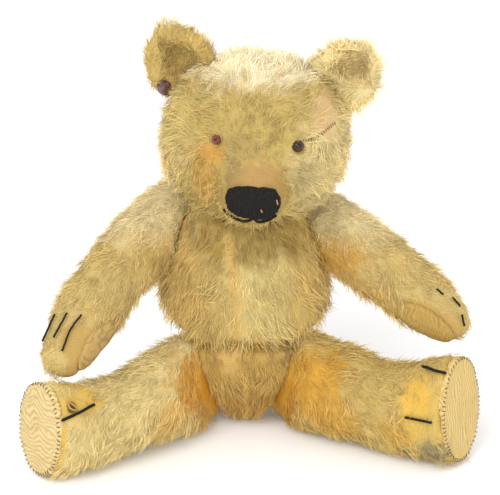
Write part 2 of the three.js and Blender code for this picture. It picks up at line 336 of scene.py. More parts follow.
def outer_shell(mesh: Mesh) -> None:
    """Keeps the island of faces with the most corners, which is the outside."""
    build = bmesh.new()
    build.from_mesh(mesh)
    build.verts.ensure_lookup_table()
    seen: set[int] = set()
    islands: list[list[bmesh.types.BMVert]] = []
    for first in build.verts:
        if first.index in seen:
            continue
        island, front = [], [first]
        seen.add(first.index)
        while front:
            vertex = front.pop()
            island.append(vertex)
            for edge in vertex.link_edges:
                other = edge.other_vert(vertex)
                if other.index not in seen:
                    seen.add(other.index)
                    front.append(other)
        islands.append(island)
    islands.sort(key=len, reverse=True)
    bmesh.ops.delete(build, geom=[v for island in islands[1:] for v in island], context="VERTS")
    build.to_mesh(mesh)
    build.free()
    mesh.update()


def moulded(name: str, nodes: tuple[str, ...], voxel: float, smooth: int) -> Thing:
    """One even closed skin round several frame nodes.

    Args:
        name: the piece's name.
        nodes: the frame nodes that it wraps.
        voxel: the grid step of its faces, in mm.
        smooth: how many rounds of smoothing soften the frame's facets.

    Returns:
        The skin as an object.
    """
    body = made(name, gathered(nodes))
    remesh = body.modifiers.new("even faces", "REMESH")
    remesh.mode = "VOXEL"
    remesh.voxel_size = voxel * MM
    soften = body.modifiers.new("soften", "SMOOTH")
    soften.factor = 0.5
    soften.iterations = smooth
    settled(body)
    outer_shell(body.data)
    body.data.shade_smooth()
    return body


def plumped(bodies: list[Thing], cap: float) -> None:
    """Blows the skins up a little as tight cloth, all in one run, and keeps each point near where it was.

    Args:
        bodies: the skins.
        cap: how far a point may move, in mm.
    """
    scene = bpy.context.scene
    last = 20
    scene.frame_start, scene.frame_end = 1, last
    for body in bodies:
        cloth = body.modifiers.new("stuffing", "CLOTH")
        cloth.settings.quality = 4
        cloth.settings.use_pressure = True
        cloth.settings.uniform_pressure_force = 4
        cloth.settings.effector_weights.gravity = 0
        cloth.point_cache.frame_start, cloth.point_cache.frame_end = 1, last
    for step in range(1, last + 1):
        scene.frame_set(step)
    graph = bpy.context.evaluated_depsgraph_get()
    for body in bodies:
        swollen = points_of(body.evaluated_get(graph).data)
        start = points_of(body.data)
        moved = swollen - start
        far = np.linalg.norm(moved, axis=1, keepdims=True)
        moved *= np.minimum(1, cap / np.maximum(far, 1e-9))
        body.modifiers.clear()
        place(body.data, start + moved)
    scene.frame_set(1)


def finer(body: Thing, levels: int = 1) -> None:
    """Subdivides a skin and keeps the result."""
    more = body.modifiers.new("finer", "SUBSURF")
    more.levels = more.render_levels = levels
    settled(body)
    body.data.shade_smooth()


def give(mesh: Mesh, channel: Channel, values: Array) -> None:
    """Stores a field on a mesh's vertices."""
    if values.ndim == 1:
        store = mesh.attributes.new(channel.value, "FLOAT", "POINT")
        store.data.foreach_set("value", values.astype(np.float32))
    else:
        store = mesh.attributes.new(channel.value, "FLOAT_VECTOR", "POINT")
        store.data.foreach_set("vector", values.astype(np.float32).ravel())


def tree_over(body: Thing) -> BVHTree:
    """A search tree over an object's mesh, in mm."""
    corners = [Vector(p) for p in points_of(body.data)]
    return BVHTree.FromPolygons(corners, [tuple(p.vertices) for p in body.data.polygons])


def laid(path: list[Point], skin: BVHTree, lift: float) -> list[Point]:
    """Moves the points of a path onto a skin.

    Args:
        path: points near the skin.
        skin: the skin's search tree.
        lift: how far above the skin the path ends up, in mm.

    Returns:
        The points on the skin.
    """
    found = []
    for point in path:
        spot, way, _, _ = skin.find_nearest(Vector(point))
        found.append(tuple(spot + way * lift))
    return found


def curve_through(path: Path | list[Point], step: float) -> list[Point]:
    """A smooth row of points through a few given ones, one for each step of length."""
    given = [np.array(p, float) for p in path]
    given = [2 * given[0] - given[1], *given, 2 * given[-1] - given[-2]]
    out: list[Point] = []
    for a, b, c, d in zip(given, given[1:], given[2:], given[3:]):
        count = max(1, round(float(np.linalg.norm(c - b)) / step))
        for k in range(count):
            t = k / count
            bow, twist = 2 * a - 5 * b + 4 * c - d, 3 * b - a - 3 * c + d
            p = 0.5 * (2 * b + (c - a) * t + bow * t**2 + twist * t**3)
            out.append(tuple(float(v) for v in p))
    out.append(tuple(float(v) for v in given[-2]))
    return out


def guide(name: str, paths: list[list[Point]], ups: list[list[Point]] | None = None) -> Thing:
    """An object of bare edges for a tree of nodes to follow.

    Args:
        name: the piece's name.
        paths: rows of points, in mm.
        ups: for each point, the way that faces out of the cloth.

    Returns:
        The guide object.
    """
    points = [p for path in paths for p in path]
    edges, start = [], 0
    for path in paths:
        edges += [(start + k, start + k + 1) for k in range(len(path) - 1)]
        start += len(path)
    mesh = bpy.data.meshes.new(name)
    mesh.from_pydata([tuple(c * MM for c in p) for p in points], edges, [])
    if ups is not None:
        store = mesh.attributes.new("up", "FLOAT_VECTOR", "POINT")
        store.data.foreach_set("vector", np.array([u for row in ups for u in row], np.float32).ravel())
    return made(name, mesh)


def centre_line(node: str, bits: int = 6) -> list[Point]:
    """The middle of a long thin frame node, as a few points."""
    points = points_of(frame["nodes"][node].data)
    middle = points.mean(0)
    way = np.linalg.svd(points - middle, full_matrices=False)[2][0]
    along = (points - middle) @ way
    edges = np.linspace(along.min(), along.max(), bits + 1)
    rows = [points[(along >= a - 0.01) & (along <= b + 0.01)] for a, b in zip(edges, edges[1:])]
    line = [tuple(row.mean(0)) for row in rows if len(row)]
    ends = [tuple(points[along.argmin()]), tuple(points[along.argmax()])]
    return [ends[0], *line, ends[1]]


# ---------------------------------------------------------------- trees of geometry nodes


def new_tree(name: str, sizes: tuple[str, ...]) -> tuple[Tree, Any]:
    """Starts a tree of geometry nodes with named inputs.

    Args:
        name: the tree's name.
        sizes: the inputs' names. Seed is a whole number, Finish is a material and the others are numbers.

    Returns:
        The tree and the sockets that give its inputs.
    """
    tree = bpy.data.node_groups.new(name, "GeometryNodeTree")
    for way in ("INPUT", "OUTPUT"):
        tree.interface.new_socket("Geometry", in_out=way, socket_type="NodeSocketGeometry")
    for label in sizes:
        kind = {"Seed": "Int", "Finish": "Material"}.get(label, "Float")
        tree.interface.new_socket(label, in_out="INPUT", socket_type=f"NodeSocket{kind}")
    return tree, add(tree, "NodeGroupInput").outputs


def closed(tree: Tree, geometry: Socket, finish: Socket) -> Tree:
    """Ends a tree: its instances become real and get their finish."""
    real = add(tree, "GeometryNodeRealizeInstances", {0: geometry})
    done = add(tree, "GeometryNodeSetMaterial", {"Geometry": real.outputs[0], "Material": finish})
    add(tree, "NodeGroupOutput", {"Geometry": done.outputs[0]})
    return tree


def sums(tree: Tree, how: str, a: Any, b: Any) -> Socket:
    """One step of arithmetic on two numbers."""
    return add(tree, "ShaderNodeMath", {0: a, 1: b}, operation=how).outputs["Value"]


def vectors(tree: Tree, how: str, a: Any, b: Any) -> Socket:
    """One step of arithmetic on two vectors, or on a vector and the number that scales it."""
    second = {"Scale": b} if how == "SCALE" else {1: b}
    node = add(tree, "ShaderNodeVectorMath", {0: a, **second}, operation=how)
    return node.outputs["Value" if how == "DOT_PRODUCT" else "Vector"]


def chance(tree: Tree, low: Any, high: Any, seed: Any) -> Socket:
    """A random number, or a random vector, for each element."""
    if isinstance(low, tuple):
        span = {"Min": low, "Max": high, "Seed": seed}
        return add(tree, "FunctionNodeRandomValue", span, data_type="FLOAT_VECTOR").outputs[0]
    return add(tree, "FunctionNodeRandomValue", {2: low, 3: high, "Seed": seed}, data_type="FLOAT").outputs[1]


def read(tree: Tree, name: str, kind: str = "FLOAT") -> Socket:
    """A stored field by its name."""
    return add(tree, "GeometryNodeInputNamedAttribute", {"Name": name}, data_type=kind).outputs[0]


def stored(
    tree: Tree, geometry: Socket, name: str, value: Socket, kind: str, domain: str = "POINT"
) -> Socket:
    """Stores a field under a name and gives the geometry on."""
    inputs = {"Geometry": geometry, "Name": name, "Value": value}
    return add(tree, "GeometryNodeStoreNamedAttribute", inputs, data_type=kind, domain=domain).outputs[0]


def facing(tree: Tree, way: Socket, axis: str, turn: Socket | None = None, **settings: Any) -> Socket:
    """A rotation that turns one axis to a direction."""
    inputs = {"Vector": way} if turn is None else {"Rotation": turn, "Vector": way}
    return add(tree, "FunctionNodeAlignRotationToVector", inputs, axis=axis, **settings).outputs[0]


def combined(tree: Tree, values: dict[int, Any]) -> Socket:
    """A vector from its parts."""
    return add(tree, "ShaderNodeCombineXYZ", values).outputs[0]


PILE_SIZES = (
    "Locks per m2", "Length", "Thickness", "Lift", "Curl", "Curl size",
    "Tuft size", "Tuft pull", "Droop", "Seed", "Finish",
)


def lock(tree: Tree, where: Socket) -> Socket:
    """One lock of unit size: a three-sided spindle with a bake square and a field that runs along it."""
    sizes = {"Vertices": 3, "Side Segments": 2, "Radius Top": 0.0, "Radius Bottom": 1.0, "Depth": 1.0}
    cone = add(tree, "GeometryNodeMeshCone", {**sizes, "Fill Segments": 1}, fill_type="NGON")
    patch = stored(tree, cone.outputs["Mesh"], "patch", cone.outputs["UV Map"], "FLOAT_VECTOR", "CORNER")
    height = add(tree, "ShaderNodeSeparateXYZ", {0: where}).outputs["Z"]
    along = stored(tree, patch, "along", height, "FLOAT")
    belly = sums(tree, "MULTIPLY", height, sums(tree, "SUBTRACT", 1.0, height))
    belly = sums(tree, "ADD", sums(tree, "MULTIPLY", belly, 3.0), 0.55)
    shaped = vectors(tree, "MULTIPLY", where, combined(tree, {0: belly, 1: belly, 2: 1.0}))
    return add(tree, "GeometryNodeSetPosition", {"Geometry": along, "Position": shaped}).outputs[0]


def bake_cell(tree: Tree, points: Socket) -> Socket:
    """The column and row of each lock's own square in the bake map, and how many squares a row has."""
    count = add(tree, "GeometryNodeAttributeDomainSize", {0: points}, component="POINTCLOUD")
    across = sums(tree, "CEIL", sums(tree, "POWER", count.outputs["Point Count"], 0.5), 0.0)
    order = add(tree, "GeometryNodeInputIndex").outputs[0]
    row = sums(tree, "FLOOR", sums(tree, "DIVIDE", order, across), 0.0)
    column = sums(tree, "SUBTRACT", order, sums(tree, "MULTIPLY", row, across))
    return combined(tree, {0: column, 1: row, 2: across})


def lock_bend(tree: Tree, size: Any) -> Socket:
    """How far each point of a lock moves: towards the middle of its tuft, in curls, and down."""
    a, root, up = read(tree, "along"), read(tree, "root", "FLOAT_VECTOR"), read(tree, "out", "FLOAT_VECTOR")
    bend = sums(tree, "POWER", a, 1.6)
    cells = sums(tree, "DIVIDE", 1.0, size["Tuft size"])
    tuft = add(tree, "ShaderNodeTexVoronoi", {"Vector": root, "Scale": cells, "Randomness": 1.0})
    pull = vectors(tree, "SUBTRACT", tuft.outputs["Position"], root)
    pull = vectors(tree, "SUBTRACT", pull, vectors(tree, "SCALE", up, vectors(tree, "DOT_PRODUCT", pull, up)))
    pull = vectors(tree, "SCALE", pull, sums(tree, "MULTIPLY", bend, size["Tuft pull"]))
    turns = sums(tree, "DIVIDE", 1.0, size["Curl size"])
    climb = vectors(tree, "SCALE", up, sums(tree, "MULTIPLY", a, 1.3))
    shifted = vectors(tree, "ADD", vectors(tree, "SCALE", root, turns), climb)
    wave = add(tree, "ShaderNodeTexNoise", {"Vector": shifted, "Scale": 1.0, "Detail": 1.0})
    curl = vectors(tree, "SUBTRACT", wave.outputs["Color"], (0.5, 0.5, 0.5))
    curl = vectors(tree, "SCALE", curl, sums(tree, "MULTIPLY", sums(tree, "MULTIPLY", a, 4.0), size["Curl"]))
    fall = sums(tree, "MULTIPLY", sums(tree, "MULTIPLY", bend, size["Droop"]), -1.0)
    return vectors(tree, "ADD", vectors(tree, "ADD", pull, curl), combined(tree, {2: fall}))


def pile_tree() -> Tree:
    """The tree that sews curly locks of mohair all over a skin."""
    tree, size = new_tree("mohair pile", PILE_SIZES)
    dense = sums(tree, "MULTIPLY", size["Locks per m2"], read(tree, Channel.COVER.value))
    sown = add(
        tree,
        "GeometryNodeDistributePointsOnFaces",
        {"Mesh": size["Geometry"], "Density": dense, "Seed": size["Seed"]},
        distribute_method="RANDOM",
    )
    where = add(tree, "GeometryNodeInputPosition").outputs[0]
    # each lock sets off out of the cloth, along the comb, and a little astray
    way = vectors(tree, "SCALE", sown.outputs["Normal"], size["Lift"])
    way = vectors(tree, "ADD", way, read(tree, Channel.COMB.value, "FLOAT_VECTOR"))
    astray = chance(tree, (-1, -1, -1), (1, 1, 1), 11)
    way = vectors(tree, "ADD", way, vectors(tree, "SCALE", astray, 0.3))
    spin = add(tree, "FunctionNodeEulerToRotation", {0: chance(tree, (0, 0, 0), (0, 0, 6.28), 12)})
    aimed = facing(tree, way, "Z", spin.outputs[0])
    some = chance(tree, 0.6, 1.25, 13)
    long = sums(tree, "MULTIPLY", size["Length"], some)
    long = sums(tree, "MULTIPLY", long, read(tree, Channel.REACH.value))
    thick = sums(tree, "MULTIPLY", size["Thickness"], some)
    # some tufts are faded and some still hold their colour
    coarse = sums(tree, "DIVIDE", 0.55, size["Tuft size"])
    faded = add(tree, "ShaderNodeTexNoise", {"Vector": where, "Scale": coarse, "Detail": 2.0}).outputs["Fac"]
    faded = sums(tree, "MULTIPLY", sums(tree, "SUBTRACT", faded, 0.5), 2.6)
    tone = sums(tree, "ADD", sums(tree, "ADD", chance(tree, -0.3, 0.3, 14), faded), 0.5)
    # what each lock remembers of its root
    points = sown.outputs["Points"]
    cell = bake_cell(tree, points)
    points = stored(tree, points, "root", where, "FLOAT_VECTOR")
    points = stored(tree, points, "out", sown.outputs["Normal"], "FLOAT_VECTOR")
    points = stored(tree, points, "cell", cell, "FLOAT_VECTOR")
    points = stored(tree, points, "tone", tone, "FLOAT")
    stretch = combined(tree, {0: thick, 1: thick, 2: long})
    sewn = add(
        tree,
        "GeometryNodeInstanceOnPoints",
        {"Points": points, "Instance": lock(tree, where), "Rotation": aimed, "Scale": stretch},
    )
    real = add(tree, "GeometryNodeRealizeInstances", {0: sewn.outputs[0]}).outputs[0]
    bent = add(tree, "GeometryNodeSetPosition", {"Geometry": real, "Offset": lock_bend(tree, size)})
    # each lock's own square of the bake map
    square = read(tree, "cell", "FLOAT_VECTOR")
    corner = vectors(tree, "SCALE", read(tree, "patch", "FLOAT_VECTOR"), 0.84)
    corner = vectors(tree, "ADD", corner, (0.08, 0.08, 0.0))
    row = add(tree, "ShaderNodeSeparateXYZ", {0: square}).outputs["Z"]
    spread = vectors(tree, "SCALE", vectors(tree, "ADD", square, corner), sums(tree, "DIVIDE", 1.0, row))
    return closed(tree, stored(tree, bent.outputs[0], "OFBake", spread, "FLOAT2", "CORNER"), size["Finish"])


def tube(tree: Tree, curve: Socket, corners: int, radius: Socket) -> Socket:
    """A closed tube along a curve."""
    ring = add(tree, "GeometryNodeCurvePrimitiveCircle", {"Resolution": corners, "Radius": radius})
    inputs = {"Curve": curve, "Profile Curve": ring.outputs["Curve"], "Fill Caps": True}
    return add(tree, "GeometryNodeCurveToMesh", inputs).outputs[0]


def yarn_tree() -> Tree:
    """The tree that turns a guide of edges into round, slightly uneven yarn."""
    tree, size = new_tree("yarn", ("Radius", "Step", "Unevenness", "Finish"))
    line = add(tree, "GeometryNodeMeshToCurve", {"Mesh": size["Geometry"]}).outputs[0]
    even = add(tree, "GeometryNodeResampleCurve", {"Curve": line, "Length": size["Step"]}, mode="LENGTH")
    spot = add(tree, "GeometryNodeInputPosition").outputs[0]
    noise = add(tree, "ShaderNodeTexNoise", {"Vector": spot, "Scale": 500.0, "Detail": 1.0})
    shift = vectors(tree, "SUBTRACT", noise.outputs["Color"], (0.5, 0.5, 0.5))
    shift = vectors(tree, "SCALE", shift, size["Unevenness"])
    loose = add(tree, "GeometryNodeSetPosition", {"Geometry": even.outputs[0], "Offset": shift})
    return closed(tree, tube(tree, loose.outputs[0], 6, size["Radius"]), size["Finish"])


def stitch_tree() -> Tree:
    """The tree that sews short stitches across a seam, one for each step along it."""
    tree, size = new_tree("stitches", ("Pitch", "Span", "Radius", "Seed", "Finish"))
    line = add(tree, "GeometryNodeMeshToCurve", {"Mesh": size["Geometry"]}).outputs[0]
    steps = add(tree, "GeometryNodeCurveToPoints", {"Curve": line, "Length": size["Pitch"]}, mode="LENGTH")
    up = read(tree, "up", "FLOAT_VECTOR")
    across = vectors(tree, "CROSS_PRODUCT", steps.outputs["Tangent"], up)
    leaning = vectors(tree, "ADD", across, chance(tree, (-0.5, -0.5, -0.5), (0.5, 0.5, 0.5), size["Seed"]))
    aimed = facing(tree, leaning, "X", facing(tree, up, "Z"), pivot_axis="Z")
    half = sums(tree, "MULTIPLY", size["Span"], 0.5)
    ends = {
        "Resolution": 4,
        "Start": combined(tree, {0: sums(tree, "MULTIPLY", half, -1.0)}),
        "Middle": combined(tree, {2: half}),
        "End": combined(tree, {0: half}),
    }
    arc = add(tree, "GeometryNodeCurveQuadraticBezier", ends).outputs[0]
    thread = tube(tree, arc, 4, size["Radius"])
    inputs = {"Points": steps.outputs["Points"], "Instance": thread, "Rotation": aimed}
    sewn = add(tree, "GeometryNodeInstanceOnPoints", inputs)
    return closed(tree, sewn.outputs[0], size["Finish"])


def grown(body: Thing, tree: Tree, values: dict[str, Any], name: str) -> Thing:
    """Runs a tree over an object and gives the result as a plain mesh object of its own.

    Args:
        body: the skin or guide that the tree reads.
        tree: the tree.
        values: the tree's inputs by name.
        name: the new piece's name.

    Returns:
        The new object.
    """
    modifier = body.modifiers.new("tree", "NODES")
    modifier.node_group = tree
    for item in tree.interface.items_tree:
        if item.item_type == "SOCKET" and item.in_out == "INPUT" and item.name in values:
            modifier[item.identifier] = values[item.name]
    graph = bpy.context.evaluated_depsgraph_get()
    mesh = bpy.data.meshes.new_from_object(body.evaluated_get(graph))
    body.modifiers.remove(modifier)
    return made(name, mesh)


# ---------------------------------------------------------------- finishes


def shader(name: str) -> tuple[Material, Tree]:
    """A new material and its tree, which is still empty."""
    material = bpy.data.materials.new(name)
    material.use_nodes = True
    material.node_tree.nodes.clear()
    return material, material.node_tree


def surfaced(tree: Tree, values: dict[str, Any]) -> None:
    """Ends a shader with a surface of these values."""
    face = add(tree, "ShaderNodeBsdfPrincipled", values)
    add(tree, "ShaderNodeOutputMaterial", {"Surface": face.outputs[0]})


def spot_of(tree: Tree) -> Socket:
    """Where a point is on its own piece."""
    return add(tree, "ShaderNodeTexCoord").outputs["Object"]


def bumped(tree: Tree, height: Socket, strength: float, depth: float) -> Socket:
    """A surface direction with relief, whose depth is in mm."""
    inputs = {"Height": height, "Strength": strength, "Distance": depth * MM}
    return add(tree, "ShaderNodeBump", inputs).outputs[0]


def spanned(
    tree: Tree, value: Socket, low: float, high: float, start: float = 0.0, end: float = 1.0
) -> Socket:
    """A value moved from one range to another."""
    inputs = {"Value": value, "From Min": start, "From Max": end, "To Min": low, "To Max": high}
    return add(tree, "ShaderNodeMapRange", inputs).outputs[0]


@dataclass(frozen=True)
class Mohair:
    """Curly mohair pile, clipped from goat hair. Silky: darker at the root, pale and glossy at the tip."""

    name: str = "mohair_pile"
    roughness: float = 0.5
    root_shade: float = 0.8
    tip_shade: float = 1.36
    faded_shade: float = 0.78
    fresh_shade: float = 1.16

    def material(self) -> Material:
        """Builds the shader."""
        material, tree = shader(self.name)
        dye = add(tree, "ShaderNodeAttribute", attribute_name=Channel.DYE.value)
        along = add(tree, "ShaderNodeAttribute", attribute_name="along")
        tone = add(tree, "ShaderNodeAttribute", attribute_name="tone")
        rise = spanned(tree, along.outputs["Fac"], self.root_shade, self.tip_shade)
        fade = spanned(tree, tone.outputs["Fac"], self.faded_shade, self.fresh_shade)
        shade = sums(tree, "MULTIPLY", rise, fade)
        values = {
            "Base Color": vectors(tree, "SCALE", dye.outputs["Color"], shade),
            "Roughness": self.roughness,
            "IOR": 1.45,
            "Specular IOR Level": 0.3,
            "Sheen Weight": 0.35,
            "Sheen Roughness": 0.5,
            "Sheen Tint": linear("FFF2CC"),
        }
        surfaced(tree, values)
        return material


@dataclass(frozen=True)
class WovenCloth:
    """Plain-woven cotton, as the mohair's bare backing and the pads' linen. Matt, and its threads show."""

    name: str
    thread: float = 1.25
    relief: float = 0.5
    grime: str = "8A6A3A"
    grime_share: float = 0.25

    def threads(self, tree: Tree, spot: Socket, way: str) -> Socket:
        """The threads that run one way. A wave texture at scale 0.314 repeats once for each unit."""
        rate = 0.314 / (self.thread * MM)
        values = {"Vector": spot, "Scale": rate, "Distortion": 2.2, "Detail": 2.0, "Detail Scale": 1.5}
        return add(tree, "ShaderNodeTexWave", values, bands_direction=way).outputs["Fac"]

    def material(self) -> Material:
        """Builds the shader. The threads are about three times as coarse as real ones, so that they show."""
        material, tree = shader(self.name)
        spot = spot_of(tree)
        weave = sums(tree, "ADD", self.threads(tree, spot, "Z"), self.threads(tree, spot, "X"))
        values = {"Vector": spot, "Scale": 90.0, "Detail": 6.0, "Roughness": 0.65}
        dirt = add(tree, "ShaderNodeTexNoise", values)
        cloth = add(tree, "ShaderNodeAttribute", attribute_name=Channel.CLOTH.value)
        lit = spanned(tree, weave, 0.84, 1.1, end=2.0)
        mixed = add(tree, "ShaderNodeMix", data_type="RGBA")
        tree.links.new(spanned(tree, dirt.outputs["Fac"], 0.0, self.grime_share, 0.5, 0.75), mixed.inputs[0])
        tree.links.new(vectors(tree, "SCALE", cloth.outputs["Color"], lit), mixed.inputs[6])
        mixed.inputs[7].default_value = linear(self.grime)
        values = {
            "Base Color": mixed.outputs[2],
            "Roughness": 0.9,
            "IOR": 1.45,
            "Specular IOR Level": 0.2,
            "Normal": bumped(tree, weave, self.relief, 0.25),
        }
        surfaced(tree, values)
        return material


@dataclass(frozen=True)
class Wool:
    """Spun wool or cotton thread. Matt, with fibres that catch a little light along the twist."""

    name: str
    code: str
    worn: str
    grain: float = 900.0
    roughness: float = 0.75

    def material(self) -> Material:
        """Builds the shader."""
        material, tree = shader(self.name)
        values = {"Vector": spot_of(tree), "Scale": self.grain, "Detail": 3.0, "Roughness": 0.7}
        fibre = add(tree, "ShaderNodeTexNoise", values).outputs["Fac"]
        values = {
            "Base Color": ramp(tree, fibre, ((0.45, self.code), (0.8, self.worn))),
            "Roughness": self.roughness,
            "IOR": 1.45,
            "Specular IOR Level": 0.35,
            "Normal": bumped(tree, fibre, 0.6, 0.3),
        }
        surfaced(tree, values)
        return material


@dataclass(frozen=True)
class Solid:
    """A hard finish with a mottled colour: pressed board, steel, painted tin."""

    name: str
    stops: Stops
    grain: float
    roughness: float
    metallic: float = 0.0
    relief: float = 0.3
    coat: float = 0.0

    def material(self) -> Material:
        """Builds the shader."""
        material, tree = shader(self.name)
        values = {"Vector": spot_of(tree), "Scale": self.grain, "Detail": 5.0, "Roughness": 0.6}
        mottle = add(tree, "ShaderNodeTexNoise", values).outputs["Fac"]
        values = {
            "Base Color": ramp(tree, mottle, self.stops),
            "Roughness": self.roughness,
            "Metallic": self.metallic,
            "Coat Weight": self.coat,
            "Normal": bumped(tree, mottle, self.relief, 0.2),
        }
        surfaced(tree, values)
        return material


@dataclass(frozen=True)
class EyeGlass:
    """Brown boot-button glass: a black pupil behind a clear, glossy front, with an amber rim."""

    name: str
    rim: str
    iris: str
    pupil: str

    def material(self) -> Material:
        """Builds the shader. The wear field runs from 0 at the pupil to 1 at the rim."""
        material, tree = shader(self.name)
        out = add(tree, "ShaderNodeAttribute", attribute_name=Channel.WEAR.value).outputs["Fac"]
        colour = ramp(tree, out, ((0.22, self.pupil), (0.34, self.iris), (0.62, self.iris), (0.85, self.rim)))
        gloss = {"Roughness": 0.22, "IOR": 1.52, "Specular IOR Level": 0.3, "Coat Weight": 0.15}
        surfaced(tree, {"Base Color": colour, **gloss})
        return material


# ---------------------------------------------------------------- what every sub-assembly shares


@dataclass(frozen=True)
class Stitch:
    """How a seam is sewn: from one stitch to the next, across the seam, and the thread's radius, in mm."""

    pitch: float
    span: float
    radius: float

    def values(self) -> dict[str, Any]:
        """The stitch tree's inputs."""
        return {"Pitch": self.pitch * MM, "Span": self.span * MM, "Radius": self.radius * MM, "Seed": 5}


class Workshop:
    """The trees and finishes that all the pieces are made with."""

    def __init__(self) -> None:
        """Makes each tree and each finish once."""
        self.pile, self.yarn, self.stitches = pile_tree(), yarn_tree(), stitch_tree()
        self.mohair = Mohair().material()
        self.backing = WovenCloth("cotton_backing").material()
        self.linen = WovenCloth("pad_linen", thread=0.9, relief=0.35).material()
        self.black = Wool("black_wool", "080706", "26241F").material()
        self.brown = Wool("brown_thread", "5A4224", "8A6A3C").material()
        self.tan = Wool("tan_thread", "A8854A", "C8A868").material()
        board: Stops = ((0.3, "6E4E2E"), (0.7, "8C6A42"))
        self.board = Solid("hardboard", board, grain=260.0, roughness=0.85).material()
        rust: Stops = ((0.4, "8C8A86"), (0.62, "9A8A78"), (0.75, "6A4A30"))
        self.steel = Solid("rusty_steel", rust, grain=400.0, roughness=0.45, metallic=1.0).material()
        scuffed: Stops = ((0.3, "2C1610"), (0.5, "54302A"), (0.66, "7A5A58"), (0.8, "B08A70"))
        tin = Solid("brown_painted_tin", scuffed, grain=420.0, roughness=0.42, relief=0.5, coat=0.4)
        self.tin = tin.material()

    def spun(
        self, name: str, paths: list[list[Point]], radius: float, finish: Material, uneven: float
    ) -> Thing:
        """Yarn along some paths, as a piece."""
        line = guide(name + "_guide", paths)
        values = {"Radius": radius * MM, "Step": 1.1 * MM, "Unevenness": uneven * MM, "Finish": finish}
        piece = grown(line, self.yarn, values, name)
        bpy.data.objects.remove(line)
        piece.data.shade_smooth()
        return piece

    def claws(self, limb: str, radius: float, uneven: float) -> None:
        """Sews a limb's claws, each along its own frame node."""
        for node in [n for n in frame["nodes"] if n.startswith(f"claw_{limb}")]:
            line = curve_through(centre_line(node), 1.5)
            claw = self.spun(node + "_stitch", [line], radius, self.black, uneven)
            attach(claw, limb)
            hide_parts(node)

    def seamed(self, name: str, path: list[Point], skin: BVHTree, stitch: Stitch, finish: Material) -> Thing:
        """Stitches across a seam, as a piece."""
        row = laid(path, skin, 0.1)
        ups = [tuple(skin.find_nearest(Vector(p))[1]) for p in row]
        line = guide(name + "_guide", [row], [ups])
        piece = grown(line, self.stitches, {**stitch.values(), "Finish": finish}, name)
        bpy.data.objects.remove(line)
        piece.data.shade_smooth()
        return piece


@dataclass(frozen=True)
class Pile:
    """How a stretch of mohair is sewn: how close, how long and how curly its locks are."""

    per_cm2: float
    length: float
    thickness: float = 0.5
    lift: float = 0.38
    curl: float = 2.2
    curl_size: float = 7.0
    tuft: float = 7.0
    pull: float = 0.8
    droop: float = 1.5
    seed: int = 1

    def values(self, finish: Material) -> dict[str, Any]:
        """The pile tree's inputs."""
        return {
            "Locks per m2": self.per_cm2 * 1e4,
            "Length": self.length * MM,
            "Thickness": self.thickness * MM,
            "Lift": self.lift,
            "Curl": self.curl * MM,
            "Curl size": self.curl_size * MM,
            "Tuft size": self.tuft * MM,
            "Tuft pull": self.pull,
            "Droop": self.droop * MM,
            "Seed": self.seed,
            "Finish": finish,
        }


INSIDE = ("_disc_body", "_disc_limb", "_washer_body", "_washer_limb")
# the radius of each joint's flat faces, in mm, by how the joint's name starts
FLAT_RADIUS = {"neck": 26.0, "shou": 21.0, "hip_": 41.0}


